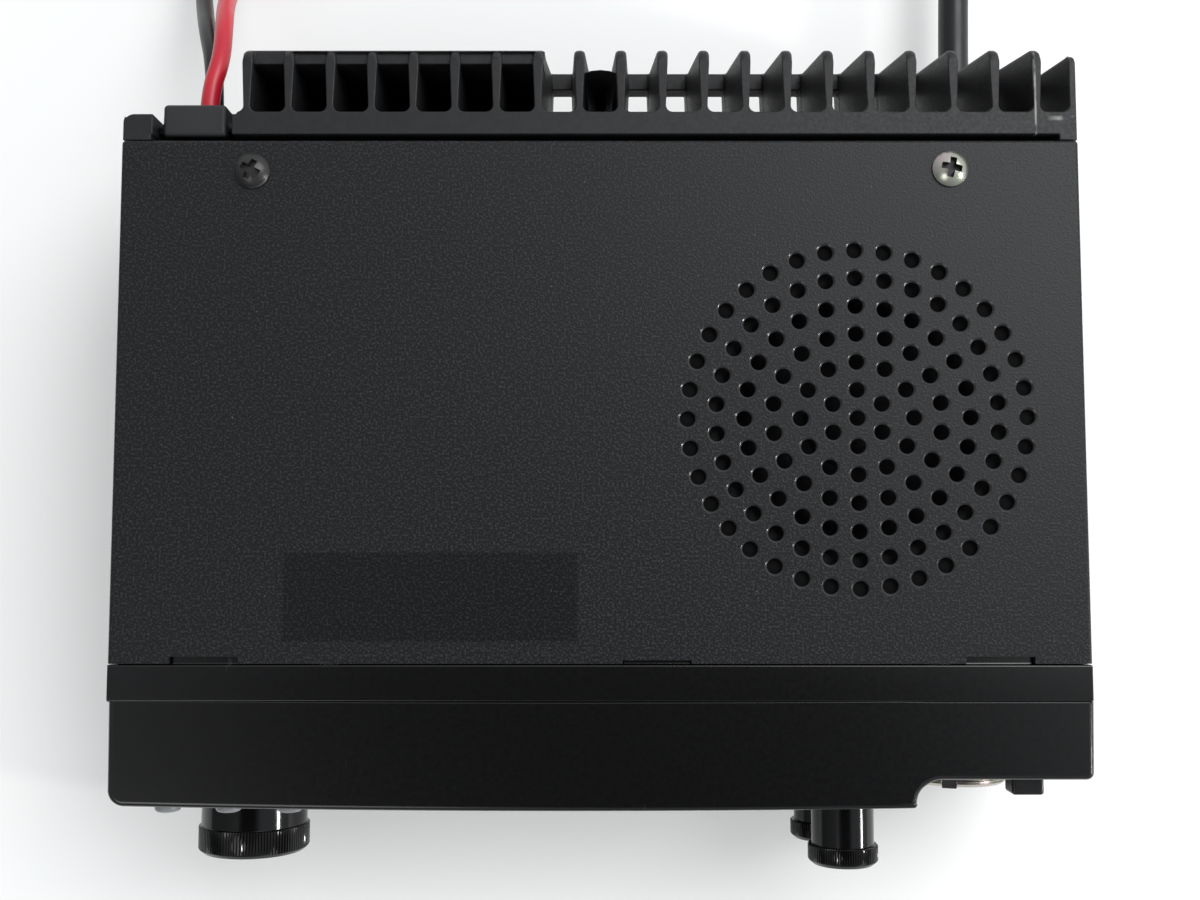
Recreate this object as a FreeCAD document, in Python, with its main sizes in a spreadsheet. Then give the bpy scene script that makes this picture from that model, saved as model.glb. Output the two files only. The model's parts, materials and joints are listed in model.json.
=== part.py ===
import FreeCAD, Part
import math
import os
import re
import Sketcher

# A mobile two-way radio: cast chassis and finned heat sink, two sheet covers, moulded front with its
# controls, speaker, boards, and short power and antenna leads.
# Axes: X to the right, Y to the rear, Z up. The origin is on the flat underside. All sizes are millimetres.

V = FreeCAD.Vector
os.makedirs("parts", exist_ok=True)
doc = FreeCAD.newDocument("MobileRadio")
sheet = doc.addObject("Spreadsheet::Sheet", "Sizes")

SIZES = {
    # Casing
    "casing_height": 40.0,
    "panel_width": 139.0,
    "band_width": 140.0,
    "cover_width": 140.0,
    "sink_width": 140.0,
    "front_face_y": -54.5,
    "panel_depth": 15.1,
    "band_depth": 5.2,
    "cover_depth": 76.1,
    "sink_gap": 1.0,
    "underside_gap": 0.2,
    # Sheet covers
    "sheet_steel": 1.0,
    "cover_skirt": 12.0,
    "skirt_gap": 0.3,
    "sheet_gap": 0.1,
    "seam_gap": 0.15,
    "fold_radius": 0.6,
    "cover_screw_x": 50.8,
    "cover_screw_inset": 4.7,
    "cover_screw_hole": 3.4,
    "side_screw_z": 6.0,
    "notch_width": 9.8,
    "notch_depth": 1.0,
    "notch_left_x": -56.3,
    "notch_middle_x": 8.1,
    "notch_right_x": 56.9,
    # Speaker grille in the top cover
    "grille_x": 37.2,
    "grille_inset": 35.2,
    "grille_pitch": 4.08,
    "grille_hole": 2.2,
    # Cast chassis
    "chassis_wall": 2.6,
    "deck_top": 17.0,
    "deck_thick": 2.5,
    "boss_width": 5.8,
    "screw_tap": 2.5,
    "tap_depth": 7.0,
    "bracket_hole": 3.3,
    "bracket_hole_depth": 8.0,
    "bracket_spacing": 40.0,
    "bracket_centre_y": 2.0,
    "bracket_boss": 9.0,
    "front_wall": 2.0,
    "front_wall_cut": 5.0,
    # Heat sink casting
    "sink_plate": 3.4,
    "sink_drop": 0.5,
    "sink_corner": 1.6,
    "fin_count": 20,
    "fin_pitch": 6.115,
    "first_fin_x": -51.95,
    "end_fin_thick": 1.5,
    "fin_top_thick": 1.0,
    "fin_foot_thick": 2.6,
    "fin_tall": 21.5,
    "fin_top_depth": 9.5,
    "fin_foot_depth": 12.8,
    "fin_corner": 1.5,
    "fin_root_radius": 1.0,
    "closing_wall": 2.0,
    "closing_wall_drop": 1.0,
    "closing_wall_end_x": -8.4,
    "pocket_floor": 2.0,
    "bar_tall": 3.4,
    "bar_thick": 3.2,
    "column_depth": 7.6,
    "column_drop": 3.5,
    "column_bulge": 0.6,
    "column_thick": 1.3,
    "column_rib": 1.6,
    "column_rib_foot": 0.8,
    "lug_left": 4.1,
    "lug_right": 2.6,
    "lug_gap": 0.1,
    "lug_low": 28.5,
    "grommet_notch_x": -59.85,
    "grommet_notch_width": 11.6,
    "grommet_notch_deep": 17.0,
    "sink_screw_height": 14.8,
    "sink_screw_spacing": 32.0,
    "sink_screw_centre_x": -10.0,
    "sink_screw_hole": 3.2,
    # Front band and panel
    "band_wall": 2.2,
    "band_web": 1.6,
    "tongue_thick": 1.4,
    "tongue_reach": 4.0,
    "frame_port_x": -8.0,
    "frame_port_width": 62.0,
    "frame_port_tall": 20.0,
    "mic_port": 14.0,
    "mic_port_rise": 2.0,
    "frame_screw_left_x": -46.0,
    "frame_screw_right_x": 30.0,
    "frame_screw_rise": 8.0,
    "panel_wall": 2.0,
    "panel_corner": 2.3,
    "panel_edge": 1.0,
    "panel_boss": 4.4,
    "panel_tap_deep": 10.0,
    "recess_x": 44.75,
    "recess_depth": 4.15,
    "recess_curve": 2.4,
    # Display
    "window_x": -6.0,
    "window_z": 25.5,
    "window_width": 62.0,
    "window_tall": 20.0,
    "window_thick": 1.2,
    "window_lip": 1.5,
    "window_gap": 0.1,
    "lcd_thick": 2.6,
    "lcd_gap": 0.6,
    "lcd_inset": 1.5,
    "lcd_edge": 1.0,
    "guide_thick": 2.0,
    # Front board and its switches
    "board_thick": 1.6,
    "front_board_back": 9.6,
    "front_board_inset": 4.0,
    "board_hole": 5.6,
    "switch_width": 4.5,
    "switch_thick": 3.2,
    "switch_stem": 2.0,
    "switch_stem_reach": 0.4,
    "switch_gap": 1.0,
    # Dial at the left
    "dial_x": -53.6,
    "dial_z": 20.0,
    "dial_width": 16.0,
    "dial_collar": 16.75,
    "dial_reach": 9.5,
    "dial_collar_thick": 4.0,
    "dial_shaft": 6.0,
    "dial_bushing": 8.0,
    "dial_nut_width": 11.0,
    "dial_nut_thick": 2.0,
    "dial_cavity": 13.4,
    "dial_cavity_deep": 3.6,
    "encoder_width": 12.0,
    "dial_bushing_reach": 2.6,
    "dial_teeth": 30,
    # Volume and squelch knobs
    "small_knob_x": 35.95,
    "volume_z": 29.5,
    "squelch_z": 11.4,
    "small_knob_width": 9.15,
    "small_knob_collar": 10.3,
    "small_knob_reach": 9.5,
    "small_collar_thick": 2.8,
    "small_shaft": 4.0,
    "small_bushing": 5.6,
    "pot_width": 9.6,
    "small_bushing_reach": 1.5,
    "small_cavity": 6.4,
    "small_cavity_deep": 2.2,
    "small_teeth": 22,
    "shaft_cover": 1.5,
    "shaft_foot": 1.0,
    "shaft_foot_gap": 0.2,
    "hole_clearance": 0.3,
    "knob_gap": 0.4,
    "knob_chamfer": 0.6,
    "knurl_depth": 0.3,
    "running_gap": 0.05,
    # Buttons and keys
    "round_button": 3.7,
    "round_button_z": 35.0,
    "round_button_x": -62.4,
    "round_button_pitch": 8.8,
    "round_button_reach": 1.1,
    "button_gap": 0.2,
    "button_flange": 0.8,
    "button_flange_thick": 0.8,
    "button_rest_gap": 0.3,
    "key_width": 9.0,
    "key_tall": 4.4,
    "key_reach": 1.0,
    "key_pitch": 12.0,
    "key_z": 8.4,
    "power_button_x": 61.35,
    "power_button_z": 35.0,
    "power_button_width": 4.6,
    "power_button_tall": 3.9,
    "power_button_reach": 2.6,
    "power_stem": 2.6,
    "power_travel": 2.0,
    "power_switch_width": 5.6,
    "power_switch_deep": 5.4,
    "power_stem_reach": 1.2,
    "button_corner": 0.5,
    # Microphone socket
    "mic_x": 56.4,
    "mic_z": 15.0,
    "mic_shell": 16.0,
    "mic_neck": 15.6,
    "mic_well": 13.4,
    "mic_well_deep": 7.5,
    "mic_reach": 4.2,
    "mic_flange": 18.5,
    "mic_flange_thick": 1.4,
    "mic_back": 6.0,
    "mic_nut": 18.2,
    "mic_nut_thick": 1.6,
    "mic_key_width": 2.4,
    "mic_key_turn": 16.0,
    "mic_pin": 1.1,
    "mic_pin_circle": 8.4,
    "mic_pin_long": 5.5,
    # Speaker under the top cover
    "speaker_width": 52.0,
    "speaker_rim": 1.2,
    "speaker_felt": 0.5,
    "speaker_deep": 15.0,
    "cone_mouth": 46.0,
    "cone_neck": 16.0,
    "cone_deep": 6.0,
    "cone_surround": 3.5,
    "cone_paper": 0.5,
    "basket_sheet": 0.8,
    "basket_foot": 5.0,
    "basket_pole_gap": 0.1,
    "magnet_width": 28.0,
    "magnet_thick": 6.0,
    "speaker_clip": 7.0,
    # Boards and modules
    "upper_post": 5.0,
    "lower_post": 4.5,
    "post_width": 5.0,
    "post_tap": 2.1,
    "lower_board_width": 126.0,
    "lower_board_depth": 54.0,
    "upper_board_width": 62.0,
    "upper_board_depth": 62.0,
    "upper_board_x": -28.0,
    "board_edge_gap": 1.0,
    "post_inset": 4.0,
    "can_tall": 6.0,
    "module_x": 14.0,
    "module_width": 60.0,
    "module_depth": 10.0,
    "module_tall": 8.0,
    # Small screws
    "inner_head": 4.4,
    "inner_head_thick": 1.5,
    "inner_shank": 2.0,
    "inner_shank_long": 4.0,
    "shank_clearance": 0.4,
    "cover_head": 4.9,
    "cover_head_thick": 1.6,
    "cover_shank": 2.4,
    "cover_shank_long": 6.0,
    "sink_head": 5.4,
    "sink_head_thick": 2.0,
    # Power lead
    "grommet_width": 9.3,
    "grommet_tall": 16.0,
    "grommet_reach": 1.45,
    "grommet_lip": 1.0,
    "power_wire": 2.8,
    "plug_width": 16.0,
    "plug_tall": 9.0,
    "plug_long": 24.0,
    "plug_slot_long": 6.6,
    "plug_slot_wide": 3.0,
    "plug_slot_deep": 11.0,
    "blade_long": 8.0,
    "blade_wide": 5.0,
    "blade_thick": 0.8,
    # Antenna lead
    "antenna_x": 59.9,
    "antenna_z": 10.0,
    "coax": 5.0,
    "gland_hole": 8.4,
    "gland_collar": 10.5,
    "gland_reach": 2.4,
    "aerial_shell": 15.8,
    "aerial_collar": 19.0,
    "aerial_long": 28.0,
    "aerial_thread_long": 16.0,
    "aerial_mouth": 12.8,
    "aerial_mouth_deep": 5.0,
    "aerial_contact": 5.4,
    "aerial_contact_bore": 4.04,
    "aerial_contact_long": 11.0,
    # Outside speaker jack
    "jack_x": -42.0,
    "jack_z": 8.6,
    "jack_bore": 3.6,
    "jack_bushing": 6.0,
    "jack_nut": 8.0,
    "jack_nut_thick": 1.4,
    "jack_long": 13.0,
}

for row, (name, value) in enumerate(SIZES.items(), start=1):
    sheet.set("A%d" % row, name)
    sheet.set("B%d" % row, str(value))
    sheet.setAlias("B%d" % row, name)
doc.recompute()

# Places worked out from the sizes above, each written once.
PLACES = {
    "band_front": "front_face_y + panel_depth",
    "cover_front": "band_front + band_depth",
    "cover_rear": "cover_front + cover_depth",
    "sink_front": "cover_rear + sink_gap",
    "sink_rear": "sink_front + sink_plate",
    "sink_top": "casing_height - sink_drop",
    "fin_low": "sink_top - fin_tall",
    "panel_inside": "front_face_y + panel_wall",
    "recess_face": "front_face_y + recess_depth",
    "power_cap_rear": "front_board_front - power_travel - button_rest_gap",
    "web_front": "cover_front - band_web",
    "chassis_half": "cover_width / 2 - sheet_steel - sheet_gap",
    "chassis_rear": "cover_rear - sheet_steel - sheet_gap",
    "cavity_half": "chassis_half - chassis_wall",
    "cavity_front": "cover_front + front_wall",
    "cavity_rear": "chassis_rear - chassis_wall",
    "cavity_top": "casing_height - sheet_steel",
    "deck_low": "deck_top - deck_thick",
    "cover_screw_y": "cover_rear - cover_screw_inset",
    "grille_y": "cover_front + grille_inset",
    "front_board_front": "front_face_y + front_board_back - board_thick",
    "front_board_rear": "front_face_y + front_board_back",
    "board_half": "panel_width / 2 - front_board_inset",
    "speaker_top": "cavity_top - speaker_felt",
    "lower_board_top": "deck_low - lower_post",
    "lower_board_mid": "cavity_front + board_edge_gap + lower_board_depth / 2",
    "upper_board_low": "deck_top + upper_post",
    "upper_board_mid": "cavity_front + board_edge_gap + upper_board_depth / 2",
    "lcd_front": "panel_inside + lcd_gap",
    "guide_front": "lcd_front + lcd_thick",
    "switch_front": "front_board_front - switch_thick - switch_stem_reach",
    "boss_left_x": "window_x - window_width / 2 - 2.5",
    "boss_far_left_x": "panel_wall - panel_width / 2 + 4",
    "boss_right_x": "recess_x + 4.4",
    "boss_high_z": "casing_height - panel_wall - 2.4",
    "boss_low_z": "underside_gap + panel_wall + 2.6",
}


def formula(text):
    """Return text with each named place worked out and each size pointed at its cell in the sheet."""
    def spell(found):
        word = found.group()
        if word in PLACES:
            return "(" + formula(PLACES[word]) + ")"
        if word in SIZES:
            return "Sizes." + word
        return word
    return re.sub(r"[a-z][a-z_]*", spell, str(text))


def size(name):
    """Return one driving size as a number."""
    return float(sheet.get(name))


def bind(item, **formulas):
    """Tie properties of an object to formulas; two underscores stand for a dot."""
    for name, text in formulas.items():
        item.setExpression(name.replace("__", "."), formula(text))


def place(item, x="0", y="0", z="0"):
    """Tie the position of an object to formulas."""
    bind(item, Placement__Base__x=x, Placement__Base__y=y, Placement__Base__z=z)


def turn(item, axis, angle):
    """Turn an object about its own origin."""
    item.Placement.Rotation = FreeCAD.Rotation(axis, angle)


FACING_FRONT = (V(1, 0, 0), 90)
FACING_REAR = (V(1, 0, 0), -90)
FACING_DOWN = (V(1, 0, 0), 180)
FACING_LEFT = (V(0, 1, 0), -90)
FACING_RIGHT = (V(0, 1, 0), 90)


# Sketches and features of a body

def new_body(label):
    body = doc.addObject("PartDesign::Body", "Body_" + label)
    body.Label = label
    return body


def sketch_on(body, plane, offset="0"):
    """Start a sketch on one of the body's own planes, moved to a height, depth or side given in part axes."""
    sketch = body.newObject("Sketcher::SketchObject", "Sketch")
    role = plane + "_Plane"
    support = [feature for feature in body.Origin.OriginFeatures if feature.Role == role][0]
    sketch.AttachmentSupport = [(support, "")]
    sketch.MapMode = "FlatFace"
    sign = "-" if plane == "XZ" else ""
    sketch.setExpression("AttachmentOffset.Base.z", sign + "(" + formula(offset) + ")")
    return sketch


def fix_point(sketch, line, end, place_now, texts):
    """Hold one end of a line at a place given by two formulas."""
    for kind, now, text in zip(("DistanceX", "DistanceY"), place_now, texts):
        number = sketch.addConstraint(Sketcher.Constraint(kind, -1, 1, line, end, now))
        sketch.setExpression("Constraints[%d]" % number, formula(text))


def outline(sketch, points):
    """Draw a closed outline of straight lines through points given as pairs of formulas."""
    count = len(points)
    first = sketch.GeometryCount
    turns = [2 * math.pi * step / count for step in range(count)]
    start = [V(10 * math.cos(angle), 10 * math.sin(angle), 0) for angle in turns]
    for step in range(count):
        sketch.addGeometry(Part.LineSegment(start[step], start[(step + 1) % count]), False)
    for step in range(count):
        following = first + (step + 1) % count
        sketch.addConstraint(Sketcher.Constraint("Coincident", first + step, 2, following, 1))
    for step in range(count):
        fix_point(sketch, first + step, 1, (start[step].x, start[step].y), points[step])


def rectangle(sketch, left, low, right, high):
    outline(sketch, [(left, low), (right, low), (right, high), (left, high)])


def centred(sketch, x, y, wide, tall):
    """Draw a rectangle about a centre."""
    half_wide = "(%s) / 2" % wide
    half_tall = "(%s) / 2" % tall
    rectangle(sketch, "%s - %s" % (x, half_wide), "%s - %s" % (y, half_tall),
              "%s + %s" % (x, half_wide), "%s + %s" % (y, half_tall))


def circle(sketch, x, y, width):
    number = sketch.addGeometry(Part.Circle(V(3, 3, 0), V(0, 0, 1), 1), False)
    fix_point(sketch, number, 3, (3, 3), (x, y))
    held = sketch.addConstraint(Sketcher.Constraint("Diameter", number, 2))
    sketch.setExpression("Constraints[%d]" % held, formula(width))


def pad(body, sketch, length, backwards=False):
    feature = body.newObject("PartDesign::Pad", "Pad")
    feature.Profile = sketch
    bind(feature, Length=length)
    feature.Reversed = backwards
    return feature


def pocket(body, sketch, length=None, backwards=False):
    """Cut a sketch into the body to a depth, or right through both ways where no depth is given."""
    feature = body.newObject("PartDesign::Pocket", "Pocket")
    feature.Profile = sketch
    if length is None:
        feature.Type = "ThroughAll"
        feature.Midplane = True
    else:
        bind(feature, Length=length)
        feature.Reversed = backwards
    return feature


def row_of(body, feature, sketch, direction, pitch, count):
    """Repeat a feature in a row and make that the body's tip."""
    pattern = body.newObject("PartDesign::LinearPattern", "Row")
    pattern.Originals = [feature]
    pattern.Direction = (sketch, [direction])
    pattern.Mode = "Spacing"
    bind(pattern, Offset=pitch)
    pattern.Occurrences = count
    body.Tip = pattern
    return pattern


def ring_of(body, feature, sketch, count):
    """Repeat a feature round the sketch's own normal and make that the body's tip."""
    pattern = body.newObject("PartDesign::PolarPattern", "Ring")
    pattern.Originals = [feature]
    pattern.Axis = (sketch, ["N_Axis"])
    pattern.Angle = 360
    pattern.Occurrences = count
    body.Tip = pattern
    return pattern


def round_edges(body, radius, wanted):
    """Round the edges of the body's tip that a test on their middle and bounds picks out."""
    doc.recompute()
    base = body.Tip
    names = []
    for number, edge in enumerate(base.Shape.Edges, start=1):
        if wanted(edge.BoundBox):
            names.append("Edge%d" % number)
    feature = body.newObject("PartDesign::Fillet", "Rounding")
    feature.Base = (base, names)
    bind(feature, Radius=radius)
    return feature


def turned(label, points):
    """Make a body turned about its own Z axis from a half outline of radius and height formulas."""
    body = new_body(label)
    sketch = sketch_on(body, "XZ")
    outline(sketch, points)
    feature = body.newObject("PartDesign::Revolution", "Turning")
    feature.Profile = sketch
    feature.ReferenceAxis = (sketch, ["V_Axis"])
    feature.Angle = 360
    return body


def faceted(label, points, sides=24):
    """Make a solid turned in flat facets about its own Z axis from a closed half outline."""
    steps = [2 * math.pi * step / sides for step in range(sides + 1)]
    rings = [[V(radius * math.cos(angle), radius * math.sin(angle), height) for angle in steps]
             for radius, height in points]
    faces = []
    for ring, other in zip(rings, rings[1:] + rings[:1]):
        for step in range(sides):
            corners = []
            for corner in (ring[step], ring[step + 1], other[step + 1], other[step]):
                if not corners or (corner - corners[-1]).Length > 1e-6:
                    corners.append(corner)
            if (corners[0] - corners[-1]).Length < 1e-6:
                corners.pop()
            if len(corners) > 2:
                faces.append(Part.Face(Part.makePolygon(corners + corners[:1])))
    shell = Part.makeShell(faces)
    shell.sewShape()
    solid = Part.makeSolid(shell)
    if solid.Volume < 0:
        solid.reverse()
    item = doc.addObject("Part::Feature", "Facets_" + label)
    item.Shape = solid
    item.Label = label
    return item


# Plain blocks and rods, and how they are joined

def block(name, left, front, low, wide, deep, tall):
    item = doc.addObject("Part::Box", name)
    bind(item, Length=wide, Width=deep, Height=tall)
    place(item, left, front, low)
    return item


def middle_block(name, x, y, low, wide, deep, tall):
    """Make a block about a middle in plan."""
    return block(name, "%s - (%s) / 2" % (x, wide), "%s - (%s) / 2" % (y, deep), low, wide, deep, tall)


def rod(name, x, y, z, width, tall, facing=None):
    item = doc.addObject("Part::Cylinder", name)
    bind(item, Radius="(%s) / 2" % width, Height=tall)
    if facing:
        turn(item, *facing)
    place(item, x, y, z)
    return item


def prism(name, sides, x, y, z, width, tall, facing=None):
    """Make an upright prism with a number of sides inside a circle of the given width."""
    item = doc.addObject("Part::Prism", name)
    item.Polygon = sides
    bind(item, Circumradius="(%s) / 2" % width, Height=tall)
    if facing:
        turn(item, *facing)
    place(item, x, y, z)
    return item


def fuse(label, *items):
    joined = doc.addObject("Part::MultiFuse", "Fuse_" + label)
    joined.Shapes = list(items)
    joined.Label = label
    return joined


def cut(label, base, *tools):
    tool = tools[0] if len(tools) == 1 else fuse(label + "_tools", *tools)
    result = doc.addObject("Part::Cut", "Cut_" + label)
    result.Base = base
    result.Tool = tool
    result.Label = label
    return result


def group(label, items):
    """Keep several separate solids together as one sub-part."""
    result = doc.addObject("Part::Compound", "Group_" + label)
    result.Links = list(items)
    result.Label = label
    return result


def copy_of(item, x, y, z, facing=None):
    """Place one more copy of a pattern piece."""
    link = doc.addObject("App::Link", "Copy")
    link.LinkedObject = item
    if facing:
        turn(link, *facing)
    place(link, x, y, z)
    return link


# Casing

def make_cover(label, is_top):
    """Make a folded sheet lid, open at its front edge, as the top cover lies.

    The top one has the grille and two screw holes; the other is screwed through its side skirts.
    """
    body = new_body(label)
    skirt_low = "casing_height - cover_skirt"
    blank = sketch_on(body, "XY", skirt_low)
    rectangle(blank, "-cover_width / 2", "cover_front + seam_gap", "cover_width / 2", "cover_rear")
    pad(body, blank, "cover_skirt")
    top = size("casing_height")
    front = size("front_face_y") + size("panel_depth") + size("band_depth") + size("seam_gap")

    def folded(box):
        along_top = box.ZMin > top - 0.01 and box.YMax > front + 0.01
        upright = box.ZLength > 1 and box.YMin > front + 0.01
        return along_top or upright
    round_edges(body, "fold_radius", folded)
    inside = sketch_on(body, "XY", skirt_low)
    rectangle(inside, "sheet_steel - cover_width / 2", "cover_front - 1",
              "cover_width / 2 - sheet_steel", "cover_rear - sheet_steel")
    pocket(body, inside, "cover_skirt - sheet_steel", backwards=True)
    openings = sketch_on(body, "XY", "casing_height")
    for middle in ("notch_left_x", "notch_middle_x", "notch_right_x"):
        deep = "notch_depth / 2" if middle == "notch_middle_x" else "notch_depth"
        rectangle(openings, middle + " - notch_width / 2", "cover_front - 1",
                  middle + " + notch_width / 2", "cover_front + seam_gap + " + deep)
    if is_top:
        for side in ("-", ""):
            circle(openings, side + "cover_screw_x", "cover_screw_y", "cover_screw_hole")
    pocket(body, openings, "2 * sheet_steel")
    if is_top:
        cut_grille(body)
    else:
        side_holes = sketch_on(body, "YZ", "0")
        circle(side_holes, "cover_screw_y", "casing_height - side_screw_z", "cover_screw_hole")
        pocket(body, side_holes)
        slots = sketch_on(body, "XZ", "cover_rear - sheet_steel / 2")
        for x, z, wide in (("jack_x", "jack_z", "(jack_nut + 1)"), ("antenna_x", "antenna_z", "gland_hole")):
            rectangle(slots, "-%s - %s / 2" % (x, wide), "casing_height - cover_skirt - 1",
                      "-%s + %s / 2" % (x, wide), "casing_height - %s + %s / 2" % (z, wide))
        pocket(body, slots, "sheet_steel * 2", True)
        pocket(body, slots, "sheet_steel * 2")
    return body


def cut_grille(body):
    """Punch one hole and six rings of holes; each hole is drawn with six flats to keep the cover light."""
    flats = 6
    for ring in range(7):
        sketch = sketch_on(body, "XY", "casing_height")
        bind(sketch, AttachmentOffset__Base__x="grille_x", AttachmentOffset__Base__y="grille_y")
        corners = []
        for corner in range(flats):
            angle = math.radians((corner + 0.5) * 360 / flats)
            across = "%.6f * grille_hole / 2" % math.cos(angle)
            along = "%d * grille_pitch + %.6f * grille_hole / 2" % (ring, math.sin(angle))
            corners.append((across, along))
        outline(sketch, corners)
        hole = pocket(body, sketch, "2 * sheet_steel")
        if ring:
            ring_of(body, hole, sketch, 6 * ring)


def make_top_cover():
    make_cover("top_cover", True)


def make_bottom_cover():
    body = make_cover("bottom_cover", False)
    turn(body, V(0, 1, 0), 180)
    place(body, z="casing_height")


def make_chassis():
    """Make the cast frame: a band flush with the covers, a deck, and posts for boards and screws."""
    body = new_body("chassis_frame")
    core = sketch_on(body, "XY", "sheet_steel")
    rectangle(core, "-chassis_half", "cover_front", "chassis_half", "chassis_rear")
    pad(body, core, "casing_height - 2 * sheet_steel")
    band = sketch_on(body, "XY", "cover_skirt + skirt_gap")
    rectangle(band, "-cover_width / 2", "cover_front", "cover_width / 2", "sink_front")
    pad(body, band, "casing_height - 2 * (cover_skirt + skirt_gap)")
    for height, depth, backwards in (("cavity_top", "cavity_top - deck_top", False),
                                     ("sheet_steel", "deck_low - sheet_steel", True)):
        hollow = sketch_on(body, "XY", height)
        rectangle(hollow, "-cavity_half", "cavity_front", "cavity_half", "cavity_rear")
        pocket(body, hollow, depth, backwards)
        gap = sketch_on(body, "XY", height)
        rectangle(gap, "-cavity_half", "cover_front - 1", "cavity_half", "cavity_front + 0.01")
        pocket(body, gap, "front_wall_cut", backwards)
    bosses = sketch_on(body, "XY", "deck_top")
    for side in ("-", ""):
        circle(bosses, side + "cover_screw_x", "cover_screw_y", "boss_width")
    pad(body, bosses, "cavity_top - deck_top")
    add_board_posts(body)
    add_bracket_bosses(body)
    drill_chassis(body)


def upper_posts():
    return [("upper_board_x + %s(upper_board_width / 2 - post_inset)" % side,
             "upper_board_mid + %s(upper_board_depth / 2 - post_inset)" % end)
            for side in ("-", "") for end in ("-", "")]


def lower_posts():
    return [("%s(lower_board_width / 2 - post_inset)" % side,
             "lower_board_mid + %s(lower_board_depth / 2 - post_inset)" % end)
            for side in ("-", "") for end in ("-", "")]


def add_board_posts(body):
    for posts, height, tall, backwards in ((upper_posts(), "deck_top", "upper_post", False),
                                           (lower_posts(), "deck_low", "lower_post", True)):
        sketch = sketch_on(body, "XY", height)
        for x, y in posts:
            centred(sketch, x, y, "post_width", "post_width")
        pad(body, sketch, tall, backwards)
        taps = sketch_on(body, "XY", height)
        for x, y in posts:
            circle(taps, x, y, "post_tap")
        pocket(body, taps)


def bracket_places():
    return ["bracket_centre_y - bracket_spacing / 2", "bracket_centre_y + bracket_spacing / 2"]


def add_bracket_bosses(body):
    """Thicken the side walls where the mounting bracket screws in, and drill the blind tapped holes."""
    for side, backwards in (("-", True), ("", False)):
        thick = sketch_on(body, "YZ", side + "(cavity_half - bracket_hole_depth / 2)")
        for y in bracket_places():
            centred(thick, y, "casing_height / 2", "bracket_boss", "bracket_boss")
        pad(body, thick, "bracket_hole_depth / 2", backwards)
        holes = sketch_on(body, "YZ", side + "cover_width / 2")
        for y in bracket_places():
            circle(holes, y, "casing_height / 2", "bracket_hole")
        pocket(body, holes, "bracket_hole_depth", backwards)


def sink_screw_places():
    return ["sink_screw_centre_x + %s * sink_screw_spacing" % step for step in ("-1.5", "-0.5", "0.5", "1.5")]


def panel_boss_places():
    return [("boss_left_x", "boss_high_z"), ("boss_far_left_x", "boss_low_z"),
            ("boss_right_x", "boss_high_z"), ("boss_right_x", "boss_low_z")]


def frame_screw_places():
    return [(x, "casing_height / 2 %s frame_screw_rise" % side)
            for x in ("frame_screw_left_x", "frame_screw_right_x") for side in ("-", "+")]


def drill_chassis(body):
    cover_taps = sketch_on(body, "XY", "cavity_top")
    for side in ("-", ""):
        circle(cover_taps, side + "cover_screw_x", "cover_screw_y", "screw_tap")
    pocket(body, cover_taps, "tap_depth")
    side_taps = sketch_on(body, "YZ", "0")
    circle(side_taps, "cover_screw_y", "side_screw_z", "screw_tap")
    pocket(body, side_taps)
    rear_taps = sketch_on(body, "XZ", "sink_front")
    for x in sink_screw_places():
        circle(rear_taps, x, "sink_screw_height", "screw_tap")
    pocket(body, rear_taps, "tap_depth", True)
    rear_holes = sketch_on(body, "XZ", "sink_front")
    circle(rear_holes, "antenna_x", "antenna_z", "gland_hole")
    circle(rear_holes, "jack_x", "jack_z", "jack_nut + 1")
    rectangle(rear_holes, "grommet_notch_x - grommet_width / 2", "sink_top - grommet_notch_deep",
              "grommet_notch_x + grommet_width / 2", "sink_top - 3")
    pocket(body, rear_holes, "sink_front - cavity_rear + 0.5", True)
    front_holes = sketch_on(body, "XZ", "cover_front - 1")
    for x, z in panel_boss_places():
        circle(front_holes, x, z, "inner_head + 1")
    for x, z in frame_screw_places():
        circle(front_holes, x, z, "post_tap")
    pocket(body, front_holes, "front_wall + 1.5")


# Heat sink casting

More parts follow.
